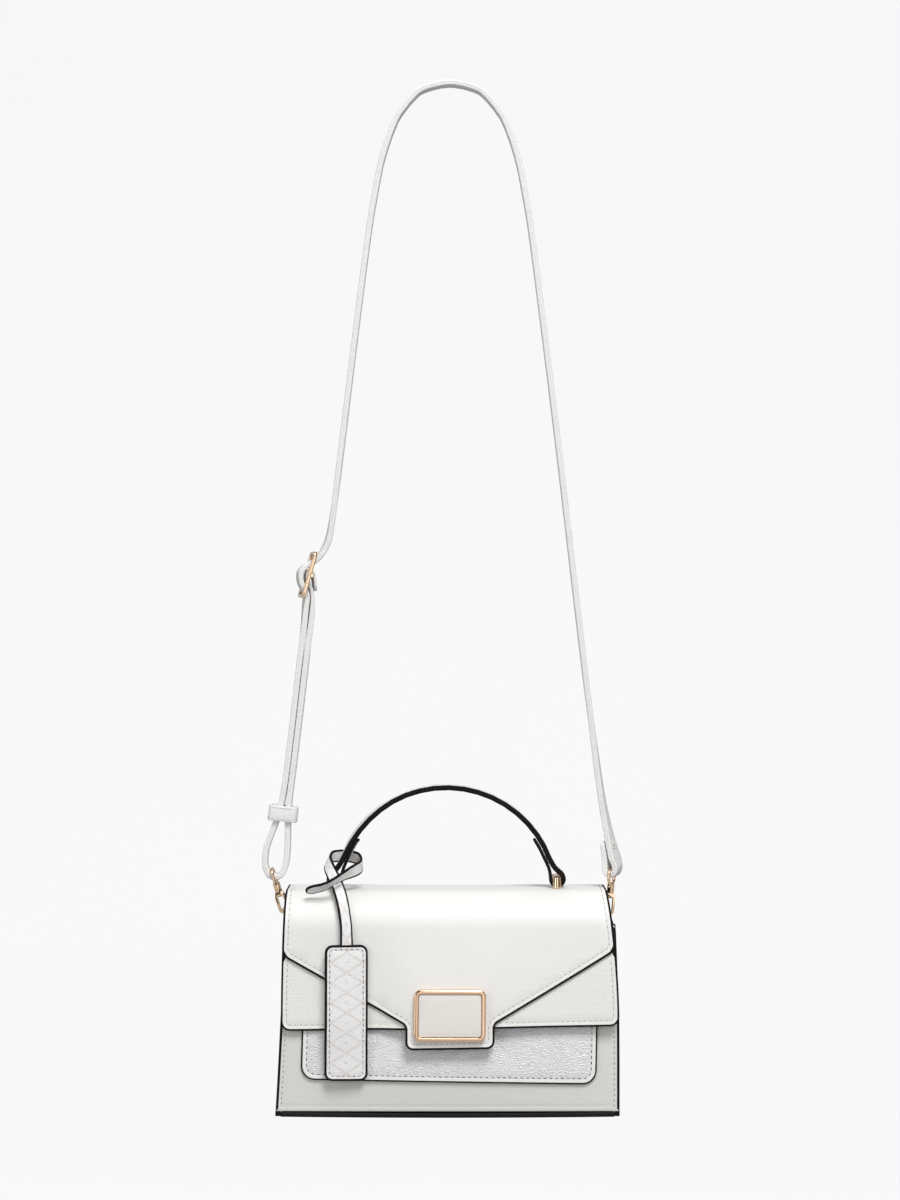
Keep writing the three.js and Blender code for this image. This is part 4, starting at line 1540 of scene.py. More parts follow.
        bend(bm, shape)
        name = f"gusset_{side.word}"
        finish_piece(bm, name, [self.finishes.white, self.finishes.paint], Slot.WHITE, [name])

    def _base(self) -> None:
        """Makes the base, which turns up into a low band at the front and back and sags a little."""
        reach, height, inner, plate = self.band_reach, self.band_height, self.band_inner, self.base_plate
        corners = both_sides([
            Corner(reach, 0.0, 1.2), Corner(reach, height, 1.2), Corner(inner, height, 0.4),
            Corner(inner, plate, 0.4),
        ])
        bm = Cut(corners, 2 * self.band_half, edge_round=0.25).build()
        slice_at(bm, Axis.W, steps(0.0, 2 * self.band_half, 12.0))
        slice_at(bm, Axis.U, steps(-inner, inner, 12.0))

        def shape(place: Vector) -> Vector:
            """Carries one place of the section along the base.

            Args:
                place: The place, with w along the base.

            Returns:
                Its place on the base.
            """
            x = place.z - self.band_half
            sag = self.band_sag * (1 - (x / self.band_half) ** 2)
            return Vector((x + self.walls.sway(place.y), place.x, place.y - sag))

        bend(bm, shape)
        finishes = [self.finishes.base, self.finishes.base]
        finish_piece(bm, "base_panel", finishes, Slot.BLACK, ["base_panel"])

    def _pocket(self) -> None:
        """Makes the pebbled pocket on the front wall."""
        half, low, high = self.pocket_half, self.pocket_bottom, self.pocket_top
        cut = Cut(
            rectangle(-half, half, low, high, 9.0), self.pocket_thickness, edge_round=0.6, paint=0.45,
            seam_inset=3.6, rimmed=True,
        )
        bm = cut.build()
        slice_at(bm, Axis.U, steps(-half, half, self.slice_step))
        slice_at(bm, Axis.V, steps(low, high, self.slice_step))
        onto = self.walls.onto(Face.FRONT, GAP)

        def shape(place: Vector) -> Vector:
            """Carries one flat place onto the front wall, a little out of level."""
            return onto(place + Vector((0.0, self.pocket_tilt * place.x, 0.0)))

        bend(bm, shape)
        finishes = [self.finishes.pebbled, self.finishes.paint, self.finishes.white]
        finish_piece(bm, "front_pocket", finishes, Slot.PEBBLED, ["front_pocket"])
        self.pocket_seams.row(cut.seam, shape, lambda place: place.y < self.pocket_sewn)


@dataclass
class Flap:
    """The two-layer flap that bends over the top, and the clasp on its tab."""

    finishes: Finishes
    walls: Walls = Walls()
    clearance: float = 2.6
    inner_top: float = 141.6
    crest: float = 145.0
    front_radius: float = 22.0
    back_radius: float = 12.0
    lower_thickness: float = 1.6
    upper_thickness: float = 1.5
    upper_offset: float = 1.9
    bottom: float = 57.3
    back_end: float = 88.0
    half_bottom: float = 109.6
    half_top: float = 105.0
    skew: float = -2.4
    tilt: float = 0.016
    vee_side: float = 106.0
    vee_foot: float = 60.2
    tab_half: float = 28.8
    tab_bottom: float = 44.6
    top_sag: float = 0.5
    sag_half: float = 64.0
    swell_share: float = 0.6
    swell_fade: float = 30.0
    nick_depth: float = 2.6
    nick_heights: tuple[float, float, float] = (98.5, 104.5, 109.0)
    nick_zone: Pair = (90.0, 115.0)
    nick_reach: float = 8.0
    clasp_half: Pair = (23.2, 16.7)
    clasp_centre: float = 66.8
    clasp_border: float = 2.6
    plate_depth: float = 3.4
    plate_crown: float = 0.3
    hang: float = 4.8
    hang_run: float = 76.0
    bow: float = 3.0
    bow_middle: float = 95.0
    bow_spread: float = 34.0
    tag_hold: float = 0.95
    tag_reach: Pair = (26.0, 52.0)
    right_hold: float = 0.4
    right_reach: Pair = (26.0, 70.0)
    slice_steps: tuple[float, ...] = (9.0, 2.6, 8.0, 1.9, 9.0)
    seams: Stitching = field(default_factory=lambda: Stitching(pitch=3.6, gap=1.0))

    def __post_init__(self) -> None:
        """Works out where the flap's straight and round stretches meet."""
        self.lean_angle = atan(self.walls.lean)
        slant = hypot(1.0, self.walls.lean)
        self.reach = {-1: self.walls.half_depth + self.clearance, 1: self.walls.half_depth + 0.5}
        radius = {-1: self.front_radius, 1: self.back_radius}
        self.centre = {}
        for sign in (-1, 1):
            height = self.inner_top - radius[sign]
            depth = self.reach[sign] - self.walls.lean * height - radius[sign] * slant
            self.centre[sign] = Vector((depth, height))
        sweep = pi / 2 - self.lean_angle
        self.front_straight = self.centre[-1].y + self.front_radius * sin(self.lean_angle)
        self.front_arc = self.front_straight + self.front_radius * sweep
        self.top_flat = self.front_arc + self.centre[-1].x + self.centre[1].x
        self.back_arc = self.top_flat + self.back_radius * sweep
        self.back_height = self.centre[1].y + self.back_radius * sin(self.lean_angle)

    def line(self, v: float, w: float) -> Vector:
        """The flap's section, in depth and height.

        Args:
            v: The flat cut's distance up the front, over the top and down the back.
            w: How far out from the flap's inner face.

        Returns:
            The point, as depth and height.
        """
        lean, front, back = self.walls.lean, self.centre[-1], self.centre[1]
        if v <= self.front_straight:
            return Vector((-(self.reach[-1] - lean * v + w), v))
        if v <= self.front_arc:
            angle = self.lean_angle + (v - self.front_straight) / self.front_radius
            radius = self.front_radius + w
            return Vector((-front.x - radius * cos(angle), front.y + radius * sin(angle)))
        if v <= self.top_flat:
            return Vector((-front.x + v - self.front_arc, self.inner_top + w))
        if v <= self.back_arc:
            angle = pi / 2 - (v - self.top_flat) / self.back_radius
            radius = self.back_radius + w
            return Vector((back.x + radius * cos(angle), back.y + radius * sin(angle)))
        height = self.back_height - (v - self.back_arc)
        return Vector((self.reach[1] - lean * height + w, height))

    def rise(self, height: float) -> float:
        """How far up the flap a height is, from 0 at its bottom edge to 1 at its crest."""
        return max(0.0, (height - self.bottom) / (self.crest - self.bottom))

    def half(self, height: float) -> float:
        """Half the flap's width at a height."""
        return self.half_bottom - (self.half_bottom - self.half_top) * self.rise(height) ** 2

    def lift(self, u: float, v: float) -> float:
        """How far the hanging front stands off the body: most at the tab, hardly at all behind the tag.

        Args:
            u: The flat cut's distance to the right of its middle.
            v: The flat cut's distance up the front.

        Returns:
            How far it stands off.
        """
        held = self.tag_hold * ease(-u, *self.tag_reach) + self.right_hold * ease(u, *self.right_reach)
        hang = self.hang * ease(self.front_straight - v, 0.0, self.hang_run)
        bow = self.bow * exp(-(((v - self.bow_middle) / self.bow_spread) ** 2))
        return (1 - held) * (hang + bow)

    def shape(self, offset: float) -> Bend:
        """Makes the bend of one of the flap's layers.

        Args:
            offset: How far the layer lies out from the flap's inner face.

        Returns:
            The bend.
        """

        def carry(place: Vector) -> Vector:
            """Carries one flat place onto the flap.

            Args:
                place: The flat place.

            Returns:
                Its place on the flap.
            """
            spot = self.line(place.y + self.tilt * place.x, offset + place.z)
            x = place.x * self.half(spot.y) / self.half_bottom + self.skew * self.rise(spot.y) ** 2
            below = ease(self.front_straight - place.y, 0.0, self.swell_fade)
            spot.x -= self.swell_share * self.walls.bulge(place.x, place.y) * below
            spot.x -= self.lift(place.x, place.y)
            over = ease(place.y, self.front_straight, self.front_arc)
            over *= ease(-place.y, -self.back_arc, -self.top_flat)
            spot.y -= self.top_sag * over * max(0.0, 1 - (place.x / self.sag_half) ** 2)
            return Vector((x, spot.x, spot.y))

        return carry

    def build(self) -> None:
        """Makes both layers, their stitches and the clasp."""
        self._lower()
        self._upper()
        self.seams.piece("flap_stitches", self.finishes.thread, self.finishes.soft_hole_shade, Slot.WHITE)
        self._clasp()

    def _slices(self, bm: BMesh, low: float, end: float) -> None:
        """Slices a layer so that it can bend.

        Args:
            bm: The flat layer.
            low: Its front edge.
            end: Its back edge.
        """
        slice_at(bm, Axis.U, steps(-self.half_bottom, self.half_bottom, self.slice_steps[0]))
        ends = [low, self.front_straight, self.front_arc, self.top_flat, self.back_arc, end]
        places = []
        for first, second, step in zip(ends, ends[1:], self.slice_steps):
            places += [*steps(first, second, step), second]
        slice_at(bm, Axis.V, places[:-1])

    def _lower(self) -> None:
        """Makes the cross-grain layer, with a black triangle at each side under the upper layer's corner:
        edge paint and painted shade where a nick would show.
        """
        half = self.half_bottom
        end = self.back_arc + self.back_height - self.back_end
        corners = [
            Corner(-half, self.bottom, 6.0), Corner(half, self.bottom, 6.0),
            Corner(half, end, 5.4), Corner(-half, end, 5.4),
        ]
        cut = Cut(corners, self.lower_thickness, edge_round=0.7, paint=0.6, seam_inset=3.7)
        bm = cut.build()
        self._slices(bm, self.bottom, end)
        self._nick(bm)
        shape = self.shape(0.0)
        bend(bm, shape)
        finishes = [self.finishes.cross, self.finishes.paint]
        finish_piece(bm, "flap_lower", finishes, Slot.CROSS_GRAIN, ["flap_lower"])
        slope = (self.vee_side - self.vee_foot) / (half - self.tab_half)

        def shown(place: Vector) -> bool:
            """Whether a stitch is clear of the upper layer."""
            return place.y < self.vee_foot + (abs(place.x) - self.tab_half) * slope - 4.0

        self.seams.row(cut.seam, shape, shown)

    def _nick(self, bm: BMesh) -> None:
        """Paints a small black triangle at each side edge of the lower layer, standing in for a nick's
        painted edges and the shade inside it; no nick is cut.

        Args:
            bm: The flat layer.
        """
        half, (low, level, high) = self.half_bottom, self.nick_heights
        tip = half - self.nick_depth
        for sign in (-1, 1):
            for end in (low, high):
                normal = Vector(((end - level) * sign, -self.nick_depth, 0.0))
                centre = Vector((tip * sign, level, 0.0))
                near = [f for f in bm.faces if self._by_nick(f.calc_center_median(), sign)]
                parts = dict.fromkeys(part for f in near for part in (*f.edges, *f.verts))
                geom = [*near, *parts]
                bmesh.ops.bisect_plane(bm, geom=geom, dist=WELD, plane_co=centre, plane_no=normal)
        # The triangle's black is partly edge paint and partly painted shade.
        for face in bm.faces:
            middle = face.calc_center_median()
            out = (abs(middle.x) - tip) / (half - tip)
            if out > 0 and middle.z > self.lower_thickness / 2:
                if level + (low - level) * out < middle.y < level + (high - level) * out:
                    face.material_index = 1

    def _by_nick(self, middle: Vector, sign: int) -> bool:
        """Whether the middle of a face is beside the nick on one side."""
        low, high = self.nick_zone
        return middle.x * sign > self.half_bottom - self.nick_reach and low < middle.y < high

    def _upper(self) -> None:
        """Makes the smooth layer with the V and the clasp's tab."""
        half, tab = self.half_bottom, self.tab_half
        end = self.back_arc + self.back_height - self.back_end + 4.0
        corners = both_sides([
            Corner(tab, self.tab_bottom, 5.0), Corner(tab, self.vee_foot, 2.4),
            Corner(half - 3.0, self.vee_side - 1.8, 1.3), Corner(half, self.vee_side + 2.6, 1.8),
            Corner(half, end, 5.4),
        ])
        cut = Cut(corners, self.upper_thickness, edge_round=0.65, paint=0.8, seam_inset=3.8)
        bm = cut.build()
        self._slices(bm, self.tab_bottom, end)
        shape = self.shape(self.upper_offset)
        bend(bm, shape)
        finishes = [self.finishes.white, self.finishes.paint]
        finish_piece(bm, "flap_upper", finishes, Slot.WHITE, ["flap_upper"])
        self.seams.row(cut.seam, shape)

    def _clasp(self) -> None:
        """Makes the clasp's gold frame and the plate inside it."""
        half_u, half_v = self.clasp_half
        face = self.clearance + self.upper_offset + self.upper_thickness + GAP
        flat = self.walls.onto(Face.FRONT, face, soft=0.0)

        def onto(place: Vector) -> Vector:
            """Carries a place, drawn about the clasp's middle, onto the hanging tab."""
            spot = place + Vector((0.0, self.clasp_centre, 0.0))
            return flat(spot + Vector((0.0, 0.0, self.lift(0.0, spot.y))))

        bm = frame_slab(
            half_u, half_v, corner=4.6, border=self.clasp_border, depth=4.6, rounds=(1.1, 0.3),
            groove=Groove(start=1.55, width=0.45, depth=1.1),
        )
        move(bm, onto)
        finish_piece(bm, "clasp_frame", [self.finishes.gold], Slot.GOLD, ["clasp_frame"])
        u, v = half_u - self.clasp_border - GAP, half_v - self.clasp_border - GAP
        bm = Cut(rectangle(-u, u, -v, v, 1.6), self.plate_depth, edge_round=0.45).build()
        slice_at(bm, Axis.U, steps(-u, u, 5.0))
        slice_at(bm, Axis.V, steps(-v, v, 5.0))

        def crowned(place: Vector) -> Vector:
            """Carries a place on the plate onto the tab, with the plate's face a little domed."""
            dome = self.plate_crown * (1 - (place.x / u) ** 2) * (1 - (place.y / v) ** 2)
            return onto(place + Vector((0.0, 0.0, dome * (place.z > 3.0))))

        move(bm, crowned)
        finishes = [self.finishes.enamel, self.finishes.enamel]
        finish_piece(bm, "clasp_plate", finishes, Slot.ENAMEL, ["clasp_plate"])


@dataclass
class Handle:
    """The top handle and the two gold bridges that its ends turn round."""

    finishes: Finishes
    centre_x: float = -2.5
    centre_y: float = 2.0
    width: float = 16.0
    thickness: float = 3.4
    apex: float = 211.0
    radius: float = 73.0
    reach: float = 61.0
    bridge_x: float = 72.8
    bridge_height: float = 150.8
    bridge_radius: float = 2.2
    foot: float = 145.3
    post_offset: float = 2.9
    arch_steps: int = 6
    twist: float = 4.5
    twist_side: Pair = (30.0, 60.0)
    twist_rise: Pair = (160.0, 178.0)
    end_rows: tuple[Row, ...] = (
        Row(68.2, 163.8, 3.4), Row(71.6, 158.2, 3.4), Row(76.2, 153.8, 3.4), Row(77.1, 150.2, 3.4),
        Row(75.2, 147.2, 3.2), Row(72.0, 146.6, 2.6), Row(69.3, 148.7, 2.3), Row(68.8, 152.4, 2.2),
        Row(67.8, 157.6, 2.1), Row(64.9, 163.8, 2.0), Row(61.5, 171.0, 2.0), Row(57.9, 176.9, 2.0),
    )

    def build(self) -> None:
        """Makes the handle, its stitches and its bridges."""
        arch = []
        for i in range(-self.arch_steps, self.arch_steps + 1):
            angle = radians(self.reach * i / self.arch_steps)
            height = self.apex - self.radius * (1 - cos(angle))
            arch.append(Row(self.radius * sin(angle), height, self.thickness))
        left = [Row(-row.x, row.h, row.t) for row in reversed(self.end_rows)]
        rows = [Row(row.x + self.centre_x, row.h, row.t) for row in (*left, *arch, *self.end_rows)]
        route = edge_on(rows, self.centre_y, self._turn)
        strip = Strip(route, self.width, self.thickness, edge_round=1.0, paint=0.3, seam_inset=3.2)
        bm, lines = strip.build()
        finish_piece(bm, "handle", [self.finishes.white, self.finishes.paint], Slot.WHITE, ["handle"])
        stitching = Stitching(pitch=4.0)
        for line in lines:
            stitching.row(line, strip.shape)
        stitching.piece("handle_stitches", self.finishes.thread, self.finishes.soft_hole_shade, Slot.WHITE)
        for side in Side:
            self._bridge(side)

    def _turn(self, point: Vector) -> float:
        """How far the left of the arch turns its outer face to the front."""
        left = ease(-point.x, *self.twist_side)
        return radians(self.twist) * left * ease(point.z, *self.twist_rise)

    def _bridge(self, side: Side) -> None:
        """Makes one bridge: a bar on two tapered posts.

        Args:
            side: The side that it is on.
        """
        x, radius = self.centre_x + side.value * self.bridge_x, self.bridge_radius
        spread = self.width / 2 + GAP + self.post_offset
        rod = [Ring(0.0, -spread), Ring(radius, -spread), Ring(radius, spread), Ring(0.0, spread)]
        bm = turned(rod, placed((x, self.centre_y, self.bridge_height), pi / 2, "X"))
        top = self.bridge_height + self.bridge_radius - self.foot
        post = [
            Ring(0.0, 0.0), Ring(2.8, 0.0), Ring(2.95, 0.25), Ring(2.9, 0.7), Ring(2.55, top - 1.0),
            Ring(2.3, top - 0.35), Ring(1.7, top), Ring(0.0, top + 0.15),
        ]
        for end in (-1, 1):
            absorb(bm, turned(post, Matrix.Translation((x, self.centre_y + end * spread, self.foot))))
        name = f"handle_bridge_{side.word}"
        finish_piece(bm, name, [self.finishes.pale_gold], Slot.GOLD, [name])


class Knot(NamedTuple):
    """A listed point on the charm's strap, with the direction across the strap there."""

    x: float
    y: float
    h: float
    ax: float
    ay: float
    az: float


@dataclass
class Charm:
    """The tag and the narrow strap that ties it round the foot of the handle."""

    finishes: Finishes
    walls: Walls = Walls()
    width: float = 27.9
    height: float = 87.5
    thickness: float = 3.2
    top: float = 111.6
    x: float = -67.0
    out: float = 8.4
    yaw: float = 0.14
    lean_run: float = 45.0
    lean_in: float = 3.0
    lean_unturn: float = 0.7
    dish: float = 0.35
    strap_width: float = 8.4
    strap_thickness: float = 1.6
    knots: tuple[Knot, ...] = (
        Knot(-66.9, -45.75, 104.0, 1.0, 0.14, 0.0), Knot(-66.9, -45.25, 112.4, 1.0, 0.15, 0.0),
        Knot(-67.0, -44.7, 118.5, 0.93, 0.36, 0.04), Knot(-67.4, -43.8, 125.0, 0.9, 0.43, 0.1),
        Knot(-69.5, -39.2, 137.4, 0.8, 0.5, 0.3), Knot(-72.6, -29.6, 147.0, 0.82, 0.45, 0.32),
        Knot(-76.4, -18.0, 153.6, 0.7, 0.2, 0.68), Knot(-79.6, -8.0, 159.2, 0.6, 0.05, 0.8),
        Knot(-80.4, 3.0, 162.6, 0.45, 0.0, 0.9), Knot(-77.4, 12.2, 164.4, 0.2, -0.1, 0.97),
        Knot(-69.0, 15.4, 164.6, 0.0, -0.1, 1.0), Knot(-61.4, 12.4, 163.2, -0.05, -0.1, 1.0),
        Knot(-58.6, 3.4, 161.0, -0.05, -0.05, 1.0), Knot(-58.8, -8.0, 159.2, -0.1, -0.3, 0.95),
        Knot(-62.0, -19.8, 157.8, -0.3, -0.55, 0.75), Knot(-68.0, -30.2, 155.8, -0.3, -0.85, 0.42),
        Knot(-75.0, -36.0, 152.2, -0.2, -0.87, 0.4), Knot(-82.0, -36.4, 148.4, -0.05, -0.78, 0.62),
        Knot(-88.0, -35.6, 146.9, 0.0, -0.75, 0.66), Knot(-93.6, -34.0, 144.8, 0.1, -0.8, 0.6),
    )

    def build(self) -> None:
        """Makes the tag, its strap and their stitches."""
        self._strap()
        self._tag()

    def _strap(self) -> None:
        """Makes the tied strap."""
        route = Route(
            [Vector((k.x, k.y, k.h)) for k in self.knots],
            [Vector((k.ax, k.ay, k.az)) for k in self.knots],
            [self.strap_thickness] * len(self.knots),
        )
        strip = Strip(route, self.strap_width, self.strap_thickness, edge_round=0.7, paint=0.55)
        bm, _ = strip.build()
        finishes = [self.finishes.tag, self.finishes.paint]
        finish_piece(bm, "tag_strap", finishes, Slot.WHITE, ["tag_strap"])

    def _tag(self) -> None:
        """Makes the tag, sewn all round, with its lower end leaning on the pocket."""
        half, low, high = self.width / 2, self.top - self.height, self.top
        cut = Cut(
            rectangle(-half, half, low, high, 5.0), self.thickness, edge_round=1.0, paint=0.45,
            seam_inset=3.1, groove=0.25, two_sided=True,
        )
        bm = cut.build()
        slice_at(bm, Axis.U, steps(-half, half, 6.0))
        slice_at(bm, Axis.V, steps(low, high, 7.0))

        def shape(place: Vector) -> Vector:
            """Carries one flat place onto the hanging tag.

            Args:
                place: The flat place.

            Returns:
                Its place on the tag.
            """
            down = ease(low + self.lean_run - place.y, 0.0, self.lean_run)
            rest = self.lean_in * down
            yaw = self.yaw * (1 - self.lean_unturn * down)
            dish = self.dish * (place.x / half) ** 2
            level = self.walls.half_depth - self.walls.lean * place.y + self.out + self.thickness / 2
            through = place.z - self.thickness / 2 - rest - dish
            x = place.x * cos(yaw) + through * sin(yaw)
            y = place.x * sin(yaw) - through * cos(yaw)
            return Vector((self.x + x, y - level, place.y))

        bend(bm, shape)
        finish_piece(bm, "tag", [self.finishes.tag, self.finishes.paint], Slot.WHITE, ["tag"])
        front = [Vector((p.x, p.y, self.thickness - cut.groove)) for p in cut.seam]
        stitching = Stitching(pitch=3.45, gap=1.6, hole=1.1)
        stitching.row(front, shape)
        stitching.piece("tag_stitches", self.finishes.thread, self.finishes.hole, Slot.WHITE)


@dataclass
class ShoulderStrap:
    """The long strap with its keeper, its slider buckle and the rivet at its right end."""

    finishes: Finishes
    width: float = 14.0
    thickness: float = 3.8
    apex: float = 675.5
    right_swirl: Swirl = Swirl(107.0, (
        (140.0, -10.0), (151.0, -14.0), (157.0, -17.0), (165.0, -27.0), (174.0, -20.0), (186.0, -13.0),
        (205.0, -8.0), (229.0, -6.0), (250.0, -2.5), (285.0, 0.0),
    ))
    buckle_swirl: Swirl = Swirl(-93.9, (
        (290.0, 0.0), (312.0, 3.0), (334.0, 10.0), (368.0, 10.0), (392.0, 3.0), (415.0, 0.0),
    ))
    seam_inset: float = 2.6
    end_seams: Pair = (164.0, 170.6)
    rivet_height: float = 173.3
    rivet_side: float = -1.5
    right_end: tuple[Row, ...] = (
        Row(101.4, 175.6, 3.0), Row(103.2, 168.8, 3.4), Row(104.0, 162.8, 3.6),
        Row(103.5, 157.8, 3.8), Row(104.3, 154.7), Row(106.9, 153.5), Row(109.6, 154.9),
        Row(110.6, 158.3), Row(109.0, 164.4), Row(106.6, 172.6), Row(103.5, 186.0),
        Row(100.3, 202.5), Row(92.2, 262.0), Row(85.0, 321.0),
    )
    arch: tuple[Row, ...] = (
        Row(72.6, 427.0), Row(61.2, 519.3), Row(52.5, 585.0), Row(49.0, 605.0), Row(45.0, 625.0),
        Row(35.8, 651.3), Row(30.8, 659.0), Row(24.0, 667.0), Row(18.6, 671.2),
    )
    buckle_and_left: tuple[Row, ...] = (
        Row(-77.8, 387.3), Row(-80.2, 374.5, 3.6), Row(-83.4, 367.3, 3.4), Row(-86.8, 362.6, 3.3),
        Row(-91.5, 358.9, 3.3), Row(-96.2, 356.4, 3.3), Row(-98.9, 353.0, 3.3),
        Row(-99.2, 349.0, 3.3), Row(-98.5, 345.5, 3.3), Row(-96.7, 342.0, 3.3),
        Row(-95.1, 338.6, 3.3), Row(-94.9, 335.0, 3.3), Row(-95.5, 330.0, 3.5), Row(-96.3, 319.0),
        Row(-99.4, 291.6), Row(-104.0, 252.0), Row(-108.9, 212.4), Row(-110.6, 203.0),
        Row(-113.4, 191.5), Row(-117.4, 181.2), Row(-120.6, 172.6), Row(-121.9, 164.8),
        Row(-121.4, 158.2), Row(-118.8, 153.4), Row(-114.9, 152.0), Row(-111.0, 153.8),
        Row(-108.7, 158.9), Row(-107.5, 165.0), Row(-107.0, 173.0), Row(-106.9, 181.0),
        Row(-106.8, 192.0), Row(-105.9, 203.0), Row(-104.7, 212.4), Row(-99.8, 252.0),
        Row(-95.2, 291.6), Row(-92.0, 319.0, 3.7), Row(-91.3, 329.0, 3.2), Row(-91.2, 334.5, 2.8),
        Row(-91.7, 339.5, 2.4), Row(-93.0, 344.0, 2.0), Row(-94.5, 347.8, 1.8),
        Row(-94.9, 350.8, 1.8), Row(-94.2, 352.6, 1.8), Row(-92.6, 353.3, 1.8),
        Row(-91.0, 352.6, 1.8), Row(-90.3, 350.8, 1.8), Row(-89.8, 347.6, 1.8),
        Row(-89.4, 344.0, 1.8), Row(-89.1, 340.4, 1.8),
    )
    buckle_x: float = -93.9
    buckle_h: float = 351.3
    buckle_tilt: float = 0.285
    buckle_half: Pair = (11.0, 15.8)
    buckle_depth: float = 2.6
    buckle_bar: float = 1.35
    keeper_place: tuple[float, float, float] = (-110.0, 0.0, 194.0)
    keeper_tilt: float = 0.11
    keeper_half: Pair = (8.6, 8.4)
    keeper_height: float = 10.2
    keeper_wall: float = 1.8
    keeper_seam: float = 1.5
    seams: Stitching = field(default_factory=lambda: Stitching(pitch=4.4, width=0.7))

    def build(self) -> None:
        """Makes the strap and everything on it."""
        fall = [Row(-row.x, row.h, row.t) for row in reversed(self.arch)]
        rows = [*self.right_end, *self.arch, Row(0.0, self.apex), *fall, *self.buckle_and_left]
        strip = Strip(
            edge_on(rows), self.width, self.thickness, edge_round=0.9, seam_inset=self.seam_inset,
            edge_score=0.3, edges_painted=False, after=self._swirl,
        )
        bm, lines = strip.build()
        finish_piece(bm, "shoulder_strap", [self.finishes.strap], Slot.WHITE, ["shoulder_strap"])
        for line in lines:
            self.seams.row(line, strip.shape)
        self._end_seam(strip)
        self._keeper()
        self.seams.piece("strap_stitches", self.finishes.thread, self.finishes.faint_hole_shade, Slot.WHITE)
        self._buckle()

    def _swirl(self, point: Vector) -> Vector:
        """Twists the strap at its right end and at the buckle."""
        return (self.right_swirl if point.x > 0 else self.buckle_swirl).carry(point)

    def _end_seam(self, strip: Strip) -> None:
        """Sews the right end's fold down with two rows of stitches, and sets a rivet above them.

        Args:
            strip: The strap.
        """
        fold, step = 100.0, 0.25
        fine = [i * step for i in range(round(fold / step))]
        climb = [run for run in fine if strip.route.at(run).along.z > 0.5]

        def run_at(height: float) -> float:
            """The distance along the strap at which it climbs past a height."""
            return min(climb, key=lambda run: abs(strip.route.at(run).point.z - height))

        half = self.width / 2 - self.seam_inset
        for height in self.end_seams:
            line = [Vector((run_at(height), v, 0.0)) for v in (-half, half)]
            self.seams.row(line, strip.shape, closed=False)
        run = run_at(self.rivet_height)
        foot, tip = (strip.shape(Vector((run, self.rivet_side, w))) for w in (0.0, -1.0))
        turn = (tip - foot).to_track_quat("Z", "Y").to_matrix().to_4x4()
        head = [
            Ring(0.0, -0.2), Ring(1.6, -0.2), Ring(1.65, 0.2), Ring(1.3, 0.55), Ring(0.7, 0.75),
            Ring(0.0, 0.8),
        ]
        bm = turned(head, Matrix.Translation(foot) @ turn, 20)
        finish_piece(bm, "strap_rivet", [self.finishes.thread], Slot.WHITE)

    def _keeper(self) -> None:
        """Makes the sewn loop that gathers the strap's two legs."""
        half_x, half_y = self.keeper_half
        loop = rounded_loop(half_x, -half_y, half_y, corner=2.2, count=4)
        first = next(i for i, p in enumerate(loop) if p.y < 0 < p.z)
        points = [Vector((p.y, p.z, 0.0)) for p in loop[first:] + loop[:first]]
        points = [Vector((-0.05, half_y, 0.0)), *points, Vector((0.05, half_y, 0.0))]
        up = Vector((0.0, 0.0, 1.0))
        route = Route(points, [up] * len(points), [self.keeper_wall] * len(points))
        strip = Strip(
            route, self.keeper_height, self.keeper_wall, edge_round=0.5, end_reach=0.0, edges_painted=False
        )
        place = placed(self.keeper_place, self.keeper_tilt, "Y")
        bm, _ = strip.build()
        bmesh.ops.transform(bm, matrix=place, verts=bm.verts)
        finish_piece(bm, "strap_keeper", [self.finishes.strap], Slot.WHITE, ["strap_keeper"])
        row = self.keeper_height / 2 - self.keeper_seam
        for v in (-row, row):
            line = [Vector((run, v, self.keeper_wall)) for run in (0.0, *route.stops(), route.length)]
            self.seams.row(line, lambda spot: place @ strip.shape(spot), closed=False)

    def _buckle(self) -> None:
        """Makes the slider buckle, seen edge-on and tilted, with the bar that the strap turns round."""
        half_y, half_z = self.buckle_half
        bm = frame_slab(
            half_y, half_z, corner=3.4, border=2.3, depth=self.buckle_depth, rounds=(0.8, 0.6)
        )
        move(bm, lambda point: Vector((point.z - self.buckle_depth / 2, point.x, point.y)))
        end = half_y + 0.5
        knob = [
            Ring(0.0, -end), Ring(1.1, -end), Ring(1.5, 0.35 - end), Ring(1.5, 1.7 - end),
            Ring(1.05, 2.0 - end),
        ]
        rod = [*knob, *(Ring(ring.radius, -ring.height) for ring in reversed(knob))]
        absorb(bm, turned(rod, placed((self.buckle_bar, 0.0, 0.0), pi / 2, "X"), 16))
        place = placed((self.buckle_x, 0.0, self.buckle_h), self.buckle_tilt, "Y")
        bmesh.ops.transform(bm, matrix=place, verts=bm.verts)
        move(bm, self.buckle_swirl.carry)
        finish_piece(bm, "strap_buckle", [self.finishes.pale_gold], Slot.GOLD, ["strap_buckle"])


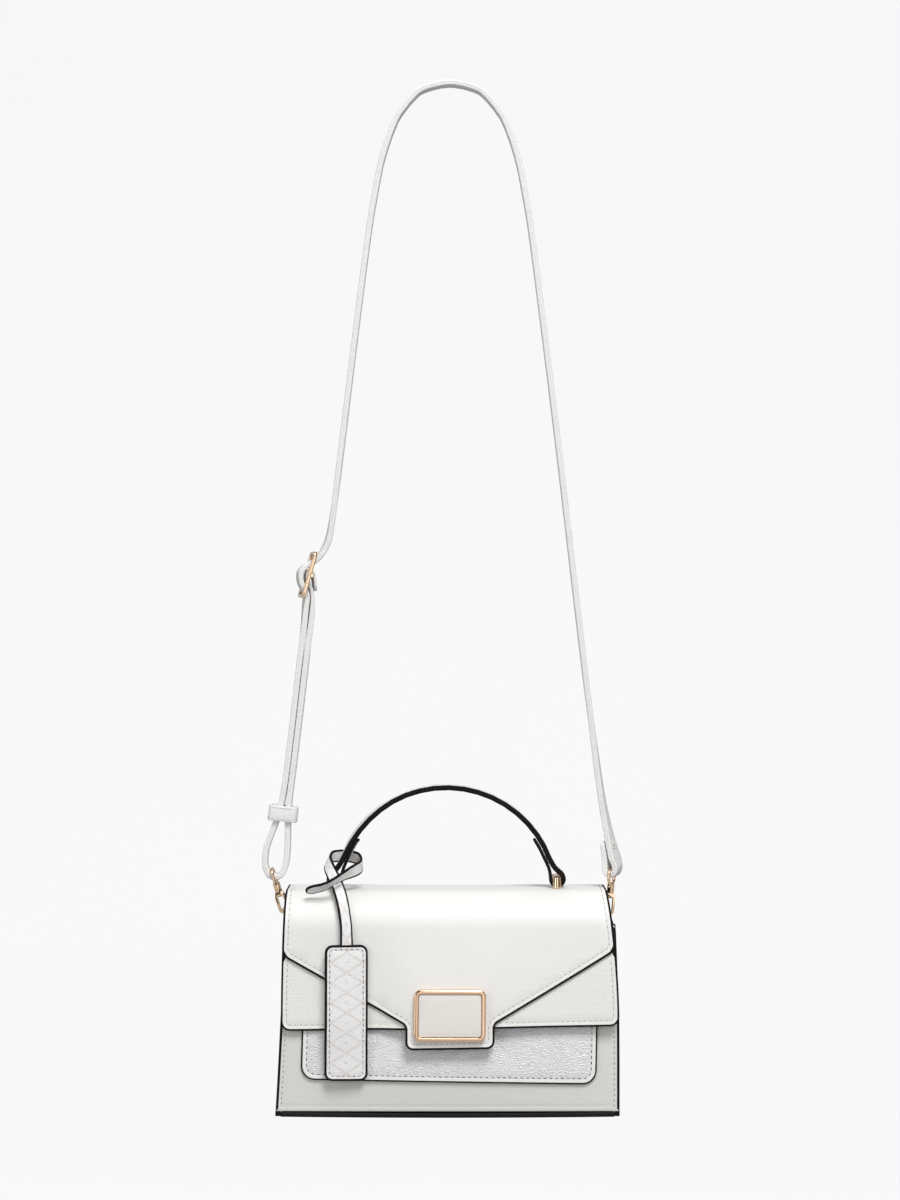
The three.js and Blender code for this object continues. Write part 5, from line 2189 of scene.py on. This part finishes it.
@dataclass
class SideHardware:
    """One side's chain: the strap's hook, the ring that it catches and the tab that holds the ring."""

    finishes: Finishes
    side: Side
    eye_x: float
    eye_h: float
    hook_lean: float
    ring_lean: float
    swirl: Swirl
    wire: float = 1.1
    hook_length: float = 27.2
    barrel: float = 6.4
    ring_reach: float = 7.5
    eye_half: float = 9.0
    collar: float = 11.6
    ring_corner: float = 2.2
    tab_width: float = 14.0
    tab_thickness: float = 1.6
    tab_foot: float = 92.0
    tab_bend: float = 108.0
    tab_sewn: float = 30.0
    gusset_wall: float = Body.gusset_wall

    def __post_init__(self) -> None:
        """Works out where the ring's wire and its bar hang."""
        hook, ring = radians(self.hook_lean), radians(self.ring_lean)
        self.wire_x = self.eye_x + self.hook_length * sin(hook)
        self.wire_h = self.eye_h - self.hook_length * cos(hook)
        self.bar_x = self.wire_x + self.ring_reach * sin(ring)
        self.bar_h = self.wire_h - self.ring_reach * cos(ring)

    def _place(self, lean: float, x: float, h: float) -> Matrix:
        """Where a piece drawn upright at the origin goes on this side."""
        angle = -self.side.value * radians(lean)
        return placed((self.side.value * x, 0.0, h), angle, "Y")

    def build(self) -> None:
        """Makes the hook, the ring and the tab."""
        self._eye()
        for part, body in (("hook_body", BODY), ("hook_gate", f"gate_{self.side.word}")):
            name = f"{part}_{self.side.word}"
            bm = eased_copy(name, 0.12)
            finish_piece(bm, name, [self.finishes.pale_gold], Slot.GOLD, [name], body)
        self._ring()
        self._tab()

    def _eye(self) -> None:
        """Makes the hook's swivelling eye: a wire loop on a round barrel with a riveted stem."""
        low, top = self.collar + GAP, self.barrel
        loop = rounded_loop(self.eye_half, low + top - 0.7, self.hook_length, corner=2.8, count=6)
        bm = wire_loop(loop, self.wire)
        boss = [
            Ring(0.0, -3.6), Ring(1.15, -3.6), Ring(1.25, -3.4), Ring(1.25, -2.9), Ring(0.85, -2.7),
            Ring(0.85, 0.0), Ring(2.2, 0.0), Ring(2.4, 0.25), Ring(2.4, 1.7), Ring(2.15, 1.9),
            Ring(2.15, 2.2), Ring(2.4, 2.4), Ring(2.4, top - 0.6), Ring(1.9, top - 0.1), Ring(0.0, top),
        ]
        absorb(bm, turned(boss, Matrix.Translation((0.0, 0.0, low))))
        place = self._place(self.hook_lean, self.wire_x, self.wire_h)
        bmesh.ops.transform(bm, matrix=place, verts=bm.verts)
        move(bm, self.swirl.carry)
        name = f"hook_eye_{self.side.word}"
        finish_piece(bm, name, [self.finishes.pale_gold], Slot.GOLD, [name])

    def _ring(self) -> None:
        """Makes the D-ring: a straight bar in the tab and an arc above it."""
        corner, half = self.ring_corner, self.eye_half
        points = []
        for i in range(6):
            angle = radians(-90.0 + 18.0 * i)
            y, z = half - corner + corner * cos(angle), corner + corner * sin(angle)
            points.append(Vector((0.0, y, z)))
        for i in range(1, 11):
            angle = radians(9.0 * i)
            rise = corner + (self.ring_reach - corner) * sin(angle)
            points.append(Vector((0.0, half * cos(angle), rise)))
        mirrored = [Vector((0.0, -p.y, p.z)) for p in reversed(points[:-1])]
        bm = wire_loop([*points, *mirrored], self.wire)
        place = self._place(self.ring_lean, self.bar_x, self.bar_h)
        bmesh.ops.transform(bm, matrix=place, verts=bm.verts)
        name = f"d_ring_{self.side.word}"
        finish_piece(bm, name, [self.finishes.pale_gold], Slot.GOLD, [name])

    def _tab(self) -> None:
        """Makes the tab: sewn flat on the gusset and folded over the ring's bar."""
        t = self.tab_thickness
        inner = self.gusset_wall + GAP + t / 2
        outer = inner + t + GAP
        turn = self.wire + GAP + t / 2
        x, h, foot, bent = self.bar_x, self.bar_h, self.tab_foot, self.tab_bend
        rows = [
            Row(inner, foot, t),
            Row(inner, bent, t),
            Row(max(inner, x - turn - 1.4), h - 6, t),
            Row(x - turn, h, t),
            Row(x - turn * 0.7, h + turn * 0.7, t),
            Row(x, h + turn, t),
            Row(x + turn * 0.7, h + turn * 0.7, t),
            Row(x + turn, h, t),
            Row(x + turn * 0.45, h - 6, t),
            Row(outer + 0.5, bent, t),
            Row(outer, foot + 6, t),
            Row(outer, foot, t),
        ]
        route = edge_on([Row(self.side.value * row.x, row.h, row.t) for row in rows])
        strip = Strip(route, self.tab_width, t, edge_round=0.6, paint=0.3, seam_inset=2.6)
        bm, lines = strip.build()
        name = f"side_tab_{self.side.word}"
        finish_piece(bm, name, [self.finishes.white, self.finishes.paint], Slot.WHITE, [name])
        stitching = Stitching(pitch=3.4)
        sewn = route.length - self.tab_sewn
        for line in lines:
            stitching.row(line, strip.shape, lambda place: place.x > sewn)
        stitching.piece(f"{name}_stitches", self.finishes.thread, self.finishes.soft_hole_shade, Slot.WHITE)


class Softbox(NamedTuple):
    """A large square light: its name, its place, its size and its power."""

    name: str
    place: tuple[float, float, float]
    size: float
    power: float


@dataclass
class Studio:
    """The camera, the pale sweep of floor and backdrop, and the soft lights."""

    camera_distance: float = 2.2
    camera_height: float = -0.339
    lens: float = 100.0
    floor_below: float = 0.38
    backdrop_depth: float = 2.4
    sweep: float = 1.2
    breadth: float = 2.5
    floor_half: float = 6.0
    floor_tone: float = 0.12
    floor_shade: float = 0.115
    dome: float = 0.36
    mirrored_dome: float = 0.12
    shown_dome: float = 0.94
    glow: float = 0.845
    mirrored_glow: float = 0.4
    bounce: float = 0.17
    target: tuple[float, float, float] = (0.0, 0.0, -0.5)
    lights: tuple[Softbox, ...] = (
        Softbox("key_light", (0.9, -2.9, 3.7), 2.1, 208.0),
        Softbox("front_light", (1.2, -4.6, 0.4), 3.0, 29.0),
        Softbox("top_light", (0.1, -0.6, 4.2), 3.0, 6.0),
        Softbox("back_light", (-0.8, 2.0, 1.9), 1.6, 17.0),
        Softbox("fill_light", (-3.2, -3.2, 0.2), 2.3, 31.0),
    )

    def build(self) -> None:
        """Sets up the camera, the floor and the lights."""
        self._camera()
        self._floor()
        self._world()
        for light in self.lights:
            self._hang(light)
        bpy.context.scene.view_settings.view_transform = "Standard"

    def _camera(self) -> None:
        """Places the camera level, straight in front."""
        data = bpy.data.cameras.new("camera")
        data.lens = self.lens
        data.sensor_width = 36.0
        made = bpy.data.objects.new("camera", data)
        made.location = (0.0, -self.camera_distance, self.camera_height)
        made.rotation_euler = (pi / 2, 0.0, 0.0)
        bpy.context.scene.collection.objects.link(made)
        bpy.context.scene.camera = made

    def _floor(self) -> None:
        """Makes the floor, which sweeps up into the backdrop."""
        bm = bmesh.new()
        bmesh.ops.create_grid(bm, x_segments=8, y_segments=64, size=self.floor_half)
        level = -DROP - self.floor_below
        for vert in bm.verts:
            vert.co.x *= self.breadth
            past = vert.co.y - self.backdrop_depth
            angle = min(max(past / self.sweep, 0.0), pi / 2)
            rise = max(0.0, past - self.sweep * pi / 2)
            if past > 0:
                vert.co.y = self.backdrop_depth + self.sweep * sin(angle)
            vert.co.z = level + self.sweep * (1 - cos(angle)) + rise
        mesh = bpy.data.meshes.new("floor")
        bm.to_mesh(mesh)
        bm.free()
        mesh.shade_smooth()
        sheet, shader, material = new_material("pale_floor", (0.9, 0.9, 0.9))
        place = sheet.add("ShaderNodeTexCoord").outputs["Object"]
        mottle = sheet.group(GROUPS.mottle, place, 1.5)
        path = sheet.add("ShaderNodeLightPath").outputs
        seen = sheet.spread(path["Is Camera Ray"], 0.0, 1.0, (self.bounce, self.glow))
        mirrored = sheet.spread(path["Is Glossy Ray"], 0.0, 1.0, (0.0, self.mirrored_glow))
        tones = (self.floor_tone,) * 3, (self.floor_shade,) * 3
        sheet.fill(shader, {
            "Base Color": sheet.mix(mottle.outputs["Tone"], *tones),
            "Roughness": 0.9,
            "Specular IOR Level": 0.1,
            "Emission Color": (1.0, 1.0, 1.0, 1.0),
            "Emission Strength": sheet.math("MAXIMUM", seen, mirrored),
        })
        mesh.materials.append(material)
        made = bpy.data.objects.new("floor", mesh)
        bpy.context.scene.collection.objects.link(made)

    def _world(self) -> None:
        """Lights the room with an even pale dome, which shows as white and is mirrored more darkly."""
        world = bpy.data.worlds.new("studio")
        bpy.context.scene.world = world
        world.use_nodes = True
        back = world.node_tree.nodes["Background"]
        sheet = NodeSheet(world.node_tree)
        path = sheet.add("ShaderNodeLightPath").outputs
        lit = sheet.mix(path["Is Glossy Ray"], (self.dome,) * 3, (self.mirrored_dome,) * 3)
        seen = sheet.mix(path["Is Camera Ray"], lit, (self.shown_dome,) * 3)
        sheet.fill(back, {"Color": seen})

    def _hang(self, light: Softbox) -> None:
        """Hangs one softbox so that it faces the bag.

        Args:
            light: The softbox.
        """
        data = bpy.data.lights.new(light.name, "AREA")
        data.shape = "SQUARE"
        data.size = light.size
        data.energy = light.power
        made = bpy.data.objects.new(light.name, data)
        made.visible_camera = False
        made.location = light.place
        aim = Vector(self.target) - Vector(light.place)
        made.rotation_euler = aim.to_track_quat("-Z", "Y").to_euler()
        bpy.context.scene.collection.objects.link(made)


def main() -> None:
    """Builds the studio and every sub-assembly of the bag, in order."""
    logging.basicConfig(level=logging.INFO, format="%(name)s %(message)s")
    Studio().build()
    finishes = Finishes()
    Body(finishes).build()
    Flap(finishes).build()
    Handle(finishes).build()
    Charm(finishes).build()
    strap = ShoulderStrap(finishes)
    strap.build()
    SideHardware(
        finishes, Side.LEFT, eye_x=117.5, eye_h=156.9, hook_lean=-17.0, ring_lean=-25.0,
        swirl=strap.buckle_swirl,
    ).build()
    SideHardware(
        finishes, Side.RIGHT, eye_x=107.1, eye_h=156.7, hook_lean=-5.0, ring_lean=-2.0,
        swirl=strap.right_swirl,
    ).build()


if __name__ == "__main__":
    main()
